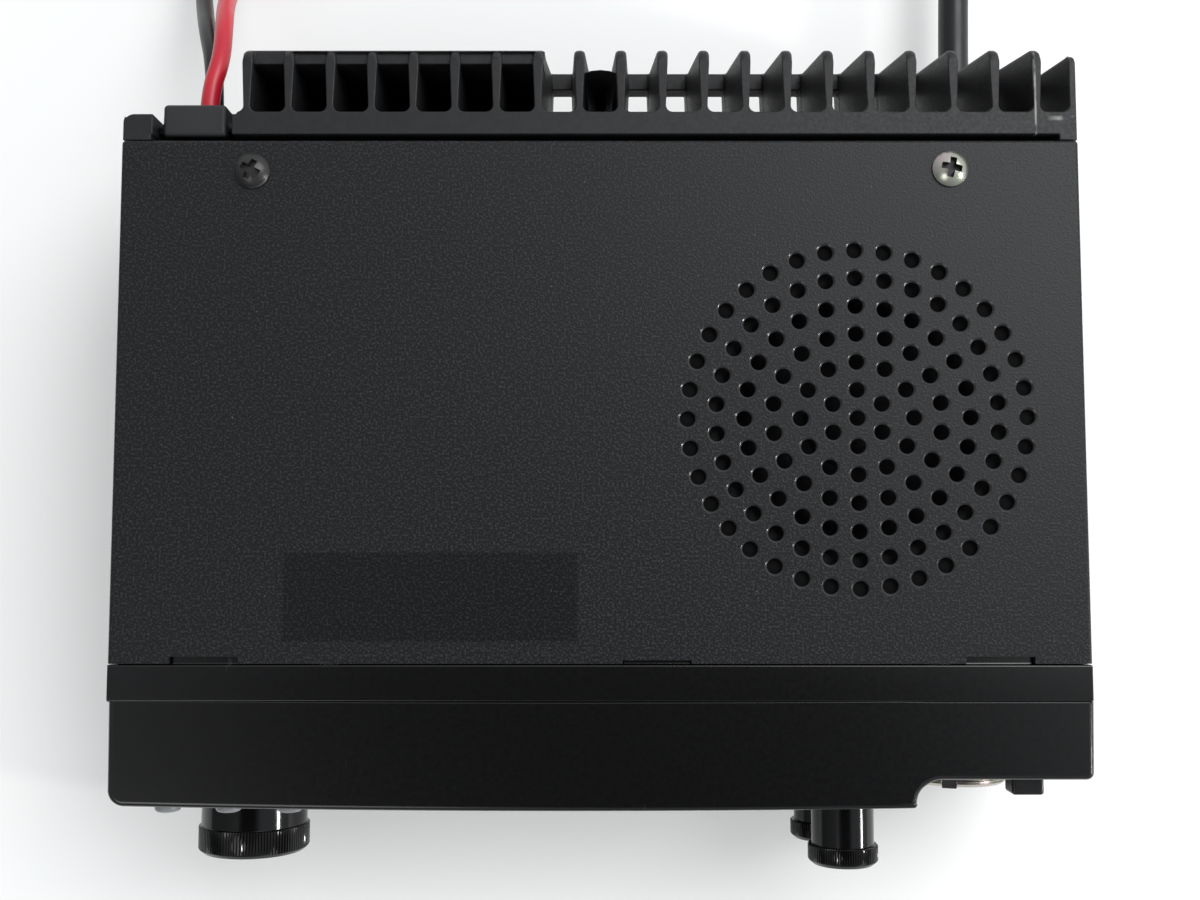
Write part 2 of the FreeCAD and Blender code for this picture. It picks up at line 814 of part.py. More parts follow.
def make_heat_sink():
    """Make the plate with a lug at each end, a row of tapered fins, and what joins them at the rear."""
    body = new_body("heat_sink")
    plate = sketch_on(body, "XY", "underside_gap")
    rectangle(plate, "-sink_width / 2", "sink_front", "sink_width / 2", "sink_rear")
    pad(body, plate, "sink_top - underside_gap")
    half = size("sink_width") / 2
    low = size("underside_gap")
    rear = size("front_face_y") + size("panel_depth") + size("band_depth") + size("cover_depth")
    rear = rear + size("sink_gap") + size("sink_plate")

    def outer_upright(box):
        return box.ZLength > 10 and box.YMin > rear - 0.01 and box.XMin < 0.01 - half
    round_edges(body, "sink_corner", outer_upright)
    lugs = sketch_on(body, "XY", "lug_low")
    rectangle(lugs, "-sink_width / 2", "cover_rear + lug_gap",
              "lug_left - sink_width / 2", "sink_front + 0.5")
    rectangle(lugs, "sink_width / 2 - lug_right", "cover_rear + lug_gap",
              "sink_width / 2", "sink_front + 0.5")
    pad(body, lugs, "sink_top - lug_low")
    fin = sketch_on(body, "XZ", "sink_rear - 0.5")
    outline(fin, [("first_fin_x - fin_foot_thick / 2", "fin_low"),
                  ("first_fin_x + fin_foot_thick / 2", "fin_low"),
                  ("first_fin_x + fin_top_thick / 2", "sink_top"),
                  ("first_fin_x - fin_top_thick / 2", "sink_top")])
    one_fin = pad(body, fin, "fin_foot_depth + 0.5", True)
    row_of(body, one_fin, fin, "H_Axis", "fin_pitch", int(size("fin_count")))
    end_fin = sketch_on(body, "XZ", "sink_rear - 0.5")
    outline(end_fin, [("sink_width / 2 - end_fin_thick", "fin_low"), ("sink_width / 2", "fin_low"),
                      ("sink_width / 2", "sink_top"), ("sink_width / 2 - fin_top_thick", "sink_top")])
    pad(body, end_fin, "fin_foot_depth + 0.5", True)

    def fin_root(box):
        beside_plate = abs(box.YMin - rear) < 0.01 and box.YLength < 0.01
        return beside_plate and box.ZLength > 10 and box.XLength < 1 and abs(box.XMax) < half - 0.9
    round_edges(body, "fin_root_radius", fin_root)
    join_fins(body)
    trim_fins(body)
    cut_sink_openings(body)


def join_fins(body):
    """Add the closing wall and pocket floor at the left, the low bar at the right and one bowed web."""
    wall = sketch_on(body, "XY", "fin_low")
    rectangle(wall, "first_fin_x", "sink_rear + fin_top_depth - closing_wall", "closing_wall_end_x",
              "sink_rear + fin_foot_depth")
    pad(body, wall, "fin_tall - closing_wall_drop")
    floor = sketch_on(body, "XY", "fin_low")
    rectangle(floor, "first_fin_x", "sink_rear - 0.5", "closing_wall_end_x",
              "sink_rear + fin_top_depth - closing_wall + 0.5")
    pad(body, floor, "pocket_floor")
    bar = sketch_on(body, "XY", "fin_low")
    rectangle(bar, "closing_wall_end_x - 1", "sink_rear + fin_foot_depth - bar_thick", "sink_width / 2 - 1",
              "sink_rear + fin_foot_depth")
    pad(body, bar, "bar_tall")
    column_x = "(first_fin_x + 8.5 * fin_pitch)"
    half_wide = "(fin_pitch - fin_top_thick + 0.4) / 2"
    column_rear = "(sink_rear + column_depth)"
    half_web = [
        ("column_rib_foot / 2", "sink_rear - 0.5"),
        ("column_rib / 2", column_rear + " - column_thick"),
        (half_wide, column_rear + " - column_bulge - column_thick"),
        (half_wide, column_rear + " - column_bulge"),
        (half_wide + " / 2", column_rear + " - column_bulge / 4"),
    ]
    left_side = [("%s - %s" % (column_x, across), along) for across, along in half_web]
    right_side = [("%s + %s" % (column_x, across), along) for across, along in reversed(half_web)]
    column = sketch_on(body, "XY", "fin_low")
    outline(column, left_side + [(column_x, column_rear)] + right_side)
    pad(body, column, "fin_tall - column_drop")


def trim_fins(body):
    """Cut every fin to the same sloping end with a rounded top corner."""
    end = sketch_on(body, "YZ", "0")
    slope = "(fin_foot_depth - fin_top_depth) / fin_tall"
    outline(end, [("sink_rear + fin_foot_depth", "fin_low"),
                  ("sink_rear + fin_top_depth + %s * fin_corner" % slope, "sink_top - fin_corner"),
                  ("sink_rear + fin_top_depth - fin_corner * 0.25", "sink_top - fin_corner * 0.35"),
                  ("sink_rear + fin_top_depth - fin_corner * 0.8", "sink_top"),
                  ("sink_rear + fin_top_depth - fin_corner * 0.8", "sink_top + 3"),
                  ("sink_rear + fin_foot_depth + 3", "sink_top + 3"),
                  ("sink_rear + fin_foot_depth + 3", "fin_low")])
    pocket(body, end)


def cut_sink_openings(body):
    notch = sketch_on(body, "XY", "sink_top")
    centred(notch, "grommet_notch_x", "(sink_front + sink_rear) / 2", "grommet_notch_width", "sink_plate + 1")
    pocket(body, notch, "grommet_notch_deep")
    holes = sketch_on(body, "XZ", "sink_rear")
    circle(holes, "antenna_x", "antenna_z", "gland_hole")
    circle(holes, "jack_x", "jack_z", "jack_nut + 1")
    for x in sink_screw_places():
        circle(holes, x, "sink_screw_height", "sink_screw_hole")
    pocket(body, holes, "sink_plate + 1", True)


# Front band and panel

def tongue_middles():
    return ["notch_left_x", "notch_middle_x", "notch_right_x"]


def make_front_frame():
    """Make the moulded band: a shallow tray with tongues that hold the covers' front edges."""
    body = new_body("front_frame")
    rim = sketch_on(body, "XZ", "cover_front")
    rectangle(rim, "-band_width / 2", "underside_gap", "band_width / 2", "casing_height")
    pad(body, rim, "band_depth")
    hollow = sketch_on(body, "XZ", "web_front")
    rectangle(hollow, "band_wall - band_width / 2", "underside_gap + band_wall",
              "band_width / 2 - band_wall", "casing_height - band_wall")
    pocket(body, hollow, "band_depth", True)
    ports = sketch_on(body, "XZ", "cover_front")
    centred(ports, "frame_port_x", "casing_height / 2", "frame_port_width", "frame_port_tall")
    centred(ports, "mic_x", "mic_z + mic_port_rise", "mic_port", "mic_port")
    pocket(body, ports)
    screws = sketch_on(body, "XZ", "cover_front")
    for x, z in panel_boss_places() + frame_screw_places():
        circle(screws, x, z, "inner_shank + shank_clearance")
    pocket(body, screws)
    tongues = sketch_on(body, "XZ", "cover_front - 0.5")
    for middle in tongue_middles():
        rectangle(tongues, middle + " - notch_width / 2", "cavity_top - sheet_gap - tongue_thick",
                  middle + " + notch_width / 2", "cavity_top - sheet_gap")
        rectangle(tongues, "-(%s) - notch_width / 2" % middle, "sheet_steel + sheet_gap",
                  "-(%s) + notch_width / 2" % middle, "sheet_steel + sheet_gap + tongue_thick")
    pad(body, tongues, "tongue_reach + 0.5", True)
    return body


def panel_plan(sketch):
    """Draw the panel from above: rounded corners and a stepped-back right end with a curved step."""
    half = size("panel_width") / 2
    front = size("front_face_y")
    rear = front + size("panel_depth")
    corner = size("panel_corner")
    step_x = size("recess_x")
    curve = size("recess_curve")
    face = front + size("recess_depth")
    small = size("panel_edge")
    lines = [
        (V(-half, rear, 0), V(-half, front + corner, 0)),
        (V(-half + corner, front, 0), V(step_x - small, front, 0)),
        (V(step_x, front + small, 0), V(step_x, face - curve, 0)),
        (V(step_x + curve, face, 0), V(half - small, face, 0)),
        (V(half, face + small, 0), V(half, rear, 0)),
        (V(half, rear, 0), V(-half, rear, 0)),
    ]
    for start, end in lines:
        sketch.addGeometry(Part.LineSegment(start, end), False)
    arcs = [
        (V(-half + corner, front + corner, 0), corner, 180, 270),
        (V(step_x - small, front + small, 0), small, 270, 360),
        (V(step_x + curve, face - curve, 0), curve, 90, 180),
        (V(half - small, face + small, 0), small, 270, 360),
    ]
    for centre, radius, start, end in arcs:
        whole = Part.Circle(centre, V(0, 0, 1), radius)
        sketch.addGeometry(Part.ArcOfCircle(whole, math.radians(start), math.radians(end)), False)
    joints = [(0, 2, 6, 1), (6, 2, 1, 1), (1, 2, 7, 1), (7, 2, 2, 1), (2, 2, 8, 2), (8, 1, 3, 1),
              (3, 2, 9, 1), (9, 2, 4, 1)]
    for one, one_end, other, other_end in joints:
        sketch.addConstraint(Sketcher.Constraint("Tangent", one, one_end, other, other_end))
    sketch.addConstraint(Sketcher.Constraint("Coincident", 4, 2, 5, 1))
    sketch.addConstraint(Sketcher.Constraint("Coincident", 5, 2, 0, 1))
    for upright in (0, 2, 4):
        sketch.addConstraint(Sketcher.Constraint("Vertical", upright))
    for level in (1, 3, 5):
        sketch.addConstraint(Sketcher.Constraint("Horizontal", level))
    fix_point(sketch, 0, 1, (-half, rear), ("-panel_width / 2", "band_front"))
    held = [("DistanceX", 4, 2, half, "panel_width / 2"), ("DistanceY", 1, 1, front, "front_face_y"),
            ("DistanceX", 2, 1, step_x, "recess_x"), ("DistanceY", 3, 1, face, "recess_face")]
    for kind, line, end, now, text in held:
        number = sketch.addConstraint(Sketcher.Constraint(kind, -1, 1, line, end, now))
        sketch.setExpression("Constraints[%d]" % number, formula(text))
    for arc, now, text in ((6, corner, "panel_corner"), (7, small, "panel_edge"),
                           (8, curve, "recess_curve"), (9, small, "panel_edge")):
        number = sketch.addConstraint(Sketcher.Constraint("Radius", arc, now))
        sketch.setExpression("Constraints[%d]" % number, formula(text))


def key_middles():
    return ["window_x + %d * key_pitch" % step for step in (-2, -1, 0, 1, 2)]


def button_middles():
    return ["round_button_x + %d * round_button_pitch" % step for step in (0, 1, 2)]


def make_front_panel():
    """Make the moulded front: hollow behind, stepped at its right end, open for each control."""
    body = new_body("front_panel")
    plan = sketch_on(body, "XY", "underside_gap")
    panel_plan(plan)
    pad(body, plan, "casing_height - underside_gap")
    low = size("underside_gap")
    high = size("casing_height")
    rear = size("front_face_y") + size("panel_depth")

    def outer_rim(box):
        flat = box.ZLength < 0.01 and (box.ZMin < low + 0.01 or box.ZMin > high - 0.01)
        return flat and box.YMin < rear - 0.01
    round_edges(body, "panel_edge * 0.8", outer_rim)
    for right, depth in (("recess_x - panel_wall", "panel_depth - panel_wall"),
                         ("panel_width / 2 - panel_wall", "panel_depth - recess_depth - panel_wall")):
        hollow = sketch_on(body, "XZ", "band_front")
        rectangle(hollow, "panel_wall - panel_width / 2", "underside_gap + panel_wall",
                  right, "casing_height - panel_wall")
        pocket(body, hollow, depth, True)
    add_panel_bosses(body)
    cut_panel_openings(body)


def add_panel_bosses(body):
    bosses = sketch_on(body, "XZ", "web_front")
    for x, z in panel_boss_places():
        circle(bosses, x, z, "panel_boss")
    pad(body, bosses, "web_front - recess_face - 0.5")
    long_bosses = sketch_on(body, "XZ", "web_front")
    for x, z in panel_boss_places()[:2]:
        circle(long_bosses, x, z, "panel_boss")
    pad(body, long_bosses, "web_front - front_face_y - 0.5")
    taps = sketch_on(body, "XZ", "web_front")
    for x, z in panel_boss_places():
        circle(taps, x, z, "post_tap")
    pocket(body, taps, "panel_tap_deep", True)


def cut_panel_openings(body):
    window = sketch_on(body, "XZ", "front_face_y")
    centred(window, "window_x", "window_z", "window_width", "window_tall")
    pocket(body, window, "window_thick")
    view = sketch_on(body, "XZ", "front_face_y")
    centred(view, "window_x", "window_z", "window_width - 2 * window_lip", "window_tall - 2 * window_lip")
    for x in key_middles():
        centred(view, x, "key_z", "key_width + 2 * button_gap", "key_tall + 2 * button_gap")
    for x in button_middles():
        circle(view, x, "round_button_z", "round_button + 2 * button_gap")
    circle(view, "dial_x", "dial_z", "dial_bushing + hole_clearance")
    for z in ("volume_z", "squelch_z"):
        circle(view, "small_knob_x", z, "small_bushing + hole_clearance")
    pocket(body, view, "panel_wall + 0.5")
    right = sketch_on(body, "XZ", "recess_face")
    circle(right, "mic_x", "mic_z", "mic_shell + hole_clearance")
    centred(right, "power_button_x", "power_button_z", "power_button_width + 2 * button_gap",
            "power_button_tall + 2 * button_gap")
    pocket(body, right, "panel_wall + 0.5")


# Display

def make_display():
    """Make the clear window, the glass cell, the light guide and the frame that holds both."""
    window = block("window_block", "window_x - window_width / 2 + window_gap", "front_face_y",
                   "window_z - window_tall / 2 + window_gap", "window_width - 2 * window_gap", "window_thick",
                   "window_tall - 2 * window_gap")
    window.Label = "display_window"
    for label, front, thick in (("lcd_glass", "lcd_front", "lcd_thick"),
                                ("light_guide", "guide_front", "guide_thick")):
        layer = block(label + "_block", "window_x - window_width / 2 + lcd_inset", front,
                      "window_z - window_tall / 2 + lcd_edge", "window_width - 2 * lcd_inset", thick,
                      "window_tall - 2 * lcd_edge")
        layer.Label = label
    outer = block("holder_outer", "window_x - window_width / 2 + lcd_inset - lcd_edge", "lcd_front",
                  "window_z - window_tall / 2", "window_width - 2 * (lcd_inset - lcd_edge)",
                  "front_board_front - (lcd_front)", "window_tall")
    inner = block("holder_inner", "window_x - window_width / 2 + lcd_inset", "lcd_front - 1",
                  "window_z - window_tall / 2 + lcd_edge", "window_width - 2 * lcd_inset",
                  "lcd_thick + guide_thick + 1", "window_tall - 2 * lcd_edge")
    cut("lcd_holder", outer, inner)


# Front board and switches

def make_front_board():
    body = new_body("front_board")
    face = sketch_on(body, "XZ", "front_board_rear")
    rectangle(face, "-board_half", "underside_gap + panel_wall + 0.8", "board_half",
              "casing_height - panel_wall - 0.4")
    pad(body, face, "board_thick")
    holes = sketch_on(body, "XZ", "front_board_rear")
    for x, z in panel_boss_places():
        circle(holes, x, z, "board_hole")
    circle(holes, "power_button_x", "power_button_z", "power_stem + 1")
    pocket(body, holes)
    corner = sketch_on(body, "XZ", "front_board_rear")
    rectangle(corner, "mic_x - mic_flange / 2 - 0.4", "0", "board_half + 1", "mic_z + mic_flange / 2 + 0.4")
    pocket(body, corner)


def make_key_switches():
    """Make the small press switches that stand on the board behind the keys and round buttons."""
    items = []
    places = [(x, "key_z") for x in key_middles()] + [(x, "round_button_z") for x in button_middles()]
    for number, (x, z) in enumerate(places, start=1):
        base = block("switch_base", "%s - switch_width / 2" % x, "front_board_front - switch_thick",
                     "%s - switch_width / 2" % z, "switch_width", "switch_thick", "switch_width")
        stem = prism("switch_stem", 8, x, "front_board_front - switch_thick", z, "switch_stem",
                     "switch_stem_reach", FACING_FRONT)
        items.append(fuse("switch_%d" % number, base, stem))
    group("key_switches", items)


# Dial and small knobs

def knob_outline(width, collar, reach, collar_thick, shaft, cavity, cavity_deep):
    """Return the half outline of a knob: plain barrel at the panel, knurled collar outside, hollow behind."""
    barrel = "%s - %s" % (reach, collar_thick)
    return [
        ("%s / 2" % shaft, "%s + knob_gap" % cavity_deep),
        ("%s / 2" % cavity, "%s + knob_gap" % cavity_deep),
        ("%s / 2" % cavity, "knob_gap"),
        ("%s / 2" % width, "knob_gap"),
        ("%s / 2" % width, barrel),
        ("%s / 2" % collar, barrel),
        ("%s / 2" % collar, "%s - knob_chamfer" % reach),
        ("%s / 2 - knob_chamfer" % collar, reach),
        ("0", reach),
        ("0", "%s - shaft_cover" % reach),
        ("%s / 2" % shaft, "%s - shaft_cover" % reach),
    ]


def knurl(body, collar, reach, collar_thick, teeth):
    """Cut straight grooves round a knob's collar."""
    sketch = sketch_on(body, "XY", "%s - %s" % (reach, collar_thick))
    edge = "%s / 2" % collar
    half_wide = "%.5f * %s" % (2 * math.pi / (3 * teeth), collar)
    outline(sketch, [(edge + " - knurl_depth", "0"), (edge + " + knurl_depth", "-" + half_wide),
                     (edge + " + knurl_depth", half_wide)])
    groove = pocket(body, sketch, "%s + 1" % collar_thick, True)
    ring_of(body, groove, sketch, teeth)


def make_dial():
    knob = turned("main_knob", knob_outline("dial_width", "dial_collar", "dial_reach", "dial_collar_thick",
                                            "dial_shaft", "dial_cavity", "dial_cavity_deep"))
    knurl(knob, "dial_collar", "dial_reach", "dial_collar_thick", int(size("dial_teeth")))
    turn(knob, *FACING_FRONT)
    place(knob, "dial_x", "front_face_y", "dial_z")
    shaft_long = "dial_reach - shaft_cover + front_board_front - (front_face_y) - shaft_foot"
    shaft = rod("dial_rod", "dial_x", "front_board_front - shaft_foot", "dial_z", "dial_shaft", shaft_long,
                FACING_FRONT)
    shaft.Label = "dial_shaft"
    case = block("encoder_case", "dial_x - encoder_width / 2", "panel_inside", "dial_z - encoder_width / 2",
                 "encoder_width", "front_board_front - (panel_inside)", "encoder_width")
    bushing = rod("encoder_bushing", "dial_x", "panel_inside", "dial_z", "dial_bushing",
                  "panel_wall + dial_bushing_reach", FACING_FRONT)
    solid = fuse("encoder_solid", case, bushing)
    bore = rod("encoder_bore", "dial_x", "front_board_front - shaft_foot + shaft_foot_gap", "dial_z",
               "dial_shaft + 2 * running_gap", "20", FACING_FRONT)
    cut("dial_encoder", solid, bore)
    nut = prism("nut_prism", 6, "dial_x", "front_face_y", "dial_z", "dial_nut_width / cos(30)",
                "dial_nut_thick", FACING_FRONT)
    hole = rod("nut_hole", "dial_x", "front_face_y + 1", "dial_z", "dial_bushing", "dial_nut_thick + 2",
               FACING_FRONT)
    cut("dial_nut", nut, hole)


def make_small_control(prefix, z):
    """Make one small knob, its shaft and the control behind it."""
    knob = turned(prefix + "_knob", knob_outline("small_knob_width", "small_knob_collar", "small_knob_reach",
                                                 "small_collar_thick", "small_shaft", "small_cavity",
                                                 "small_cavity_deep"))
    knurl(knob, "small_knob_collar", "small_knob_reach", "small_collar_thick", int(size("small_teeth")))
    turn(knob, *FACING_FRONT)
    place(knob, "small_knob_x", "front_face_y", z)
    shaft_long = "small_knob_reach - shaft_cover + front_board_front - (front_face_y) - shaft_foot"
    shaft = rod(prefix + "_rod", "small_knob_x", "front_board_front - shaft_foot", z, "small_shaft", shaft_long,
                FACING_FRONT)
    shaft.Label = prefix + "_shaft"
    case = block(prefix + "_case", "small_knob_x - pot_width / 2", "panel_inside", "%s - pot_width / 2" % z,
                 "pot_width", "front_board_front - (panel_inside)", "pot_width")
    bushing = rod(prefix + "_bushing", "small_knob_x", "panel_inside", z, "small_bushing",
                  "panel_wall + small_bushing_reach", FACING_FRONT)
    solid = fuse(prefix + "_solid", case, bushing)
    bore = rod(prefix + "_bore", "small_knob_x", "front_board_front - shaft_foot + shaft_foot_gap", z,
               "small_shaft + 2 * running_gap", "20", FACING_FRONT)
    cut(prefix + "_control", solid, bore)


# Buttons and keys

def make_round_buttons():
    names = ["round_button_left", "round_button_middle", "round_button_right"]
    for name, x in zip(names, button_middles()):
        flange = "round_button / 2 + button_flange"
        back = "panel_wall + button_rest_gap"
        body = turned(name, [
            ("0", "front_face_y + switch_gap - (switch_front)"),
            ("switch_stem / 2 + 0.5", "front_face_y + switch_gap - (switch_front)"),
            ("switch_stem / 2 + 0.5", "-(%s + button_flange_thick)" % back),
            (flange, "-(%s + button_flange_thick)" % back),
            (flange, "-(%s)" % back),
            ("round_button / 2", "-(%s)" % back),
            ("round_button / 2", "round_button_reach - button_corner"),
            ("round_button / 2 - button_corner", "round_button_reach"),
            ("0", "round_button_reach"),
        ])
        turn(body, *FACING_FRONT)
        place(body, x, "front_face_y", "round_button_z")


def make_function_keys():
    for number, x in enumerate(key_middles(), start=1):
        body = new_body("function_key_%d" % number)
        cap = sketch_on(body, "XZ", "panel_inside + button_rest_gap")
        centred(cap, x, "key_z", "key_width", "key_tall")
        pad(body, cap, "panel_wall + button_rest_gap + key_reach")
        face = size("front_face_y") - size("key_reach")

        def outer(box):
            return box.YMax < face + 0.01
        round_edges(body, "button_corner", outer)
        flange = sketch_on(body, "XZ", "panel_inside + button_rest_gap")
        centred(flange, x, "key_z", "key_width + 2 * button_flange", "key_tall + 2 * button_flange")
        pad(body, flange, "button_flange_thick", True)
        foot = sketch_on(body, "XZ", "panel_inside + button_rest_gap + button_flange_thick")
        circle(foot, x, "key_z", "switch_stem + 1")
        reach = "switch_front - switch_gap - (panel_inside)"
        pad(body, foot, reach + " - button_rest_gap - button_flange_thick", True)


def make_power_button():
    body = new_body("power_button")
    cap = sketch_on(body, "XZ", "power_cap_rear")
    centred(cap, "power_button_x", "power_button_z", "power_button_width", "power_button_tall")
    pad(body, cap, "power_cap_rear - (recess_face) + power_button_reach")
    face = size("front_face_y") + size("recess_depth") - size("power_button_reach")

    def outer(box):
        return box.YMax < face + 0.01 or (box.YMin < face + 0.01 and box.YLength > 1)
    round_edges(body, "button_corner", outer)
    stem = sketch_on(body, "XZ", "power_cap_rear")
    circle(stem, "power_button_x", "power_button_z", "power_stem")
    pad(body, stem, "front_board_rear - (power_cap_rear) + power_stem_reach", True)
    case = block("power_switch_case", "power_button_x - power_switch_width / 2", "front_board_rear",
                 "power_button_z - power_switch_width / 2", "power_switch_width", "power_switch_deep",
                 "power_switch_width")
    well = rod("power_switch_well", "power_button_x", "front_board_rear - 1", "power_button_z",
               "power_stem + 2 * hole_clearance", "1 + power_stem_reach + power_travel + hole_clearance",
               FACING_REAR)
    cut("power_switch", case, well)


# Microphone socket

def make_mic_socket():
    """Make the round socket: threaded shell, moulded insert with its key, contact pins and ring nut."""
    shell = turned("mic_shell_turned", [
        ("mic_well / 2", "mic_reach"),
        ("mic_well / 2", "-(panel_wall + mic_flange_thick + mic_back)"),
        ("mic_neck / 2", "-(panel_wall + mic_flange_thick + mic_back)"),
        ("mic_neck / 2", "-(panel_wall + mic_flange_thick)"),
        ("mic_flange / 2", "-(panel_wall + mic_flange_thick)"),
        ("mic_flange / 2", "-panel_wall"),
        ("mic_neck / 2", "-panel_wall"),
        ("mic_neck / 2", "mic_nut_thick"),
        ("mic_shell / 2", "mic_nut_thick"),
        ("mic_shell / 2", "mic_reach - 0.6"),
        ("mic_shell / 2 - 0.6", "mic_reach"),
    ])
    turn(shell, *FACING_FRONT)
    place(shell, "mic_x", "recess_face", "mic_z")
    slot = middle_block("mic_slot", "0", "0", "mic_well / 2 - 1", "mic_key_width", "mic_well_deep + 0.9", "4")
    turned_slot = doc.addObject("Part::Compound", "mic_slot_turned")
    turned_slot.Links = [slot]
    turn(turned_slot, V(0, 1, 0), -size("mic_key_turn"))
    place(turned_slot, "mic_x", "recess_face - mic_reach + mic_well_deep / 2 + 0.1", "mic_z")
    cut("mic_socket_shell", shell, turned_slot)
    insert = rod("mic_insert", "mic_x", "recess_face - mic_reach + mic_well_deep", "mic_z",
                 "mic_well - 0.1", "panel_wall + mic_flange_thick + mic_back + mic_reach - mic_well_deep",
                 FACING_REAR)
    key = middle_block("mic_key", "0", "0", "mic_well / 2 - 1.4", "mic_key_width - 0.2",
                       "mic_well_deep + 0.5", "2.4")
    turned_key = doc.addObject("Part::Compound", "mic_key_turned")
    turned_key.Links = [key]
    turn(turned_key, V(0, 1, 0), -size("mic_key_turn"))
    place(turned_key, "mic_x", "recess_face - mic_reach + mic_well_deep / 2 + 0.25", "mic_z")
    limit = rod("mic_key_limit", "mic_x", "recess_face - mic_reach - 1", "mic_z", "mic_shell - 0.2", "30",
                FACING_REAR)
    short_key = doc.addObject("Part::Common", "mic_key_short")
    short_key.Base = turned_key
    short_key.Tool = limit
    inside = rod("mic_key_inside", "mic_x", "recess_face - mic_reach - 0.4", "mic_z", "mic_well - 0.1", "2.6",
                 FACING_REAR)
    front_key = cut("mic_front_key", short_key, inside)
    inner_tube = rod("mic_tube_out", "mic_x", "recess_face - mic_reach + 3.5", "mic_z", "mic_well - 0.1", "8",
                     FACING_REAR)
    inner_bore = rod("mic_tube_in", "mic_x", "recess_face - mic_reach + 3", "mic_z", "mic_well - 1.8", "9",
                     FACING_REAR)
    sleeve = cut("mic_sleeve", inner_tube, inner_bore)
    solid = fuse("mic_insert_solid", insert, sleeve, front_key)
    pins = []
    sockets = []
    for number in range(8):
        angle = math.radians(360 / 7 * number)
        reach = 0 if number == 7 else 0.5
        x = "mic_x + %.5f * mic_pin_circle" % (reach * math.cos(angle))
        z = "mic_z + %.5f * mic_pin_circle" % (reach * math.sin(angle))
        front = "recess_face - mic_reach + mic_well_deep - mic_pin_long"
        long = "mic_pin_long + panel_wall + mic_flange_thick + mic_back + mic_reach - mic_well_deep + 3"
        pins.append(prism("mic_pin", 6, x, front, z, "mic_pin", long, FACING_REAR))
        sockets.append(prism("mic_pin_hole", 6, x, front, z, "mic_pin", long, FACING_REAR))
    cut("mic_socket_insert", solid, *sockets)
    group("mic_socket_pins", pins)
    ring = rod("mic_ring", "mic_x", "recess_face", "mic_z", "mic_nut", "mic_nut_thick", FACING_FRONT)
    ring_hole = rod("mic_ring_hole", "mic_x", "recess_face + 1", "mic_z", "mic_neck", "mic_nut_thick + 2",
                    FACING_FRONT)
    cut("mic_socket_nut", ring, ring_hole)


# Speaker

def make_speaker():
    """Make the speaker under the grille; every piece is turned about one axis, hanging from the cover."""
    mouth = size("cone_mouth") / 2
    neck = size("cone_neck") / 2
    rim = size("speaker_width") / 2
    rim_low = -size("speaker_rim")
    sheet_thick = size("basket_sheet")
    back = size("magnet_thick") - size("speaker_deep")
    basket = faceted("speaker_basket", [
        (mouth, 0), (rim, 0), (rim, rim_low), (mouth + sheet_thick, rim_low),
        (neck + size("basket_foot"), back), (neck, back), (neck, back + sheet_thick),
        (neck + size("basket_foot") - sheet_thick, back + sheet_thick), (mouth, rim_low),
    ])
    surround = size("cone_surround")
    cone_low = -size("cone_deep")
    paper = size("cone_paper")
    cone = faceted("speaker_cone", [
        (0, cone_low + paper), (neck - 1, cone_low), (mouth - surround, -surround * 0.4),
        (mouth, -0.2 - paper), (mouth, -0.2), (mouth - surround, paper - surround * 0.4),
        (neck - 1, cone_low + paper), (0, cone_low + 2 * paper),
    ])
    pole = neck - size("basket_pole_gap")
    magnet_rim = size("magnet_width") / 2
    magnet = faceted("speaker_magnet", [
        (0, back + sheet_thick / 2), (pole, back + sheet_thick / 2), (pole, back), (magnet_rim, back),
        (magnet_rim, -size("speaker_deep")), (0, -size("speaker_deep")),
    ])
    felt = faceted("speaker_felt", [
        (mouth, 0), (rim, 0), (rim, size("speaker_felt")), (mouth, size("speaker_felt")),
    ])
    for item in (basket, cone, magnet, felt):
        place(item, "grille_x", "grille_y", "speaker_top")
    clips = []
    for angle in (30, 150, 270):
        foot = block("clip_foot", "speaker_width / 2 + 0.3", "-speaker_clip / 2", "-0.4",
                     "3", "speaker_clip", "speaker_felt + 0.4")
        hold = block("clip_hold", "speaker_width / 2 - 1.4", "-speaker_clip / 2", "-speaker_rim - 0.8",
                     "1.7 + 0.8", "speaker_clip", "0.8")
        riser = block("clip_riser", "speaker_width / 2 + 0.3", "-speaker_clip / 2", "-speaker_rim - 0.8",
                      "0.8", "speaker_clip", "speaker_rim + 0.8")
        clip = fuse("clip_%d" % angle, foot, hold, riser)
        turn(clip, V(0, 0, 1), angle)
        place(clip, "grille_x", "grille_y", "speaker_top")
        clips.append(clip)
    group("speaker_clips", clips)


# Boards and modules inside. Each can: offset from the board's middle across and back, then width and depth

UPPER_CANS = [(-12, -14, 30, 20), (14, 12, 24, 26)]
LOWER_CANS = [(-34, 2, 40, 34), (26, -4, 46, 26)]


def make_board(label, x, y, low, wide, deep, posts):
    body = new_body(label)
    sketch = sketch_on(body, "XY", low)
    centred(sketch, x, y, wide, deep)
    for post_x, post_y in posts:
        circle(sketch, post_x, post_y, "inner_shank + shank_clearance")
    pad(body, sketch, "board_thick")


def make_boards():
    make_board("upper_board", "upper_board_x", "upper_board_mid", "upper_board_low",
               "upper_board_width", "upper_board_depth", upper_posts())
    make_board("main_board", "0", "lower_board_mid", "lower_board_top - board_thick",
               "lower_board_width", "lower_board_depth", lower_posts())
    cans = []
    for x, y, wide, deep in UPPER_CANS:
        cans.append(middle_block("upper_can", "upper_board_x + (%g)" % x, "upper_board_mid + (%g)" % y,
                                 "upper_board_low + board_thick", wide, deep, "can_tall"))
    for x, y, wide, deep in LOWER_CANS:
        cans.append(middle_block("lower_can", x, "lower_board_mid + (%g)" % y,
                                 "lower_board_top - board_thick - can_tall", wide, deep, "can_tall"))
    group("shield_cans", cans)
    module = middle_block("module_case", "module_x", "cavity_rear - module_depth / 2 - 1.5",
                          "deck_low - module_tall", "module_width", "module_depth", "module_tall")
    module.Label = "power_module"


# Screws

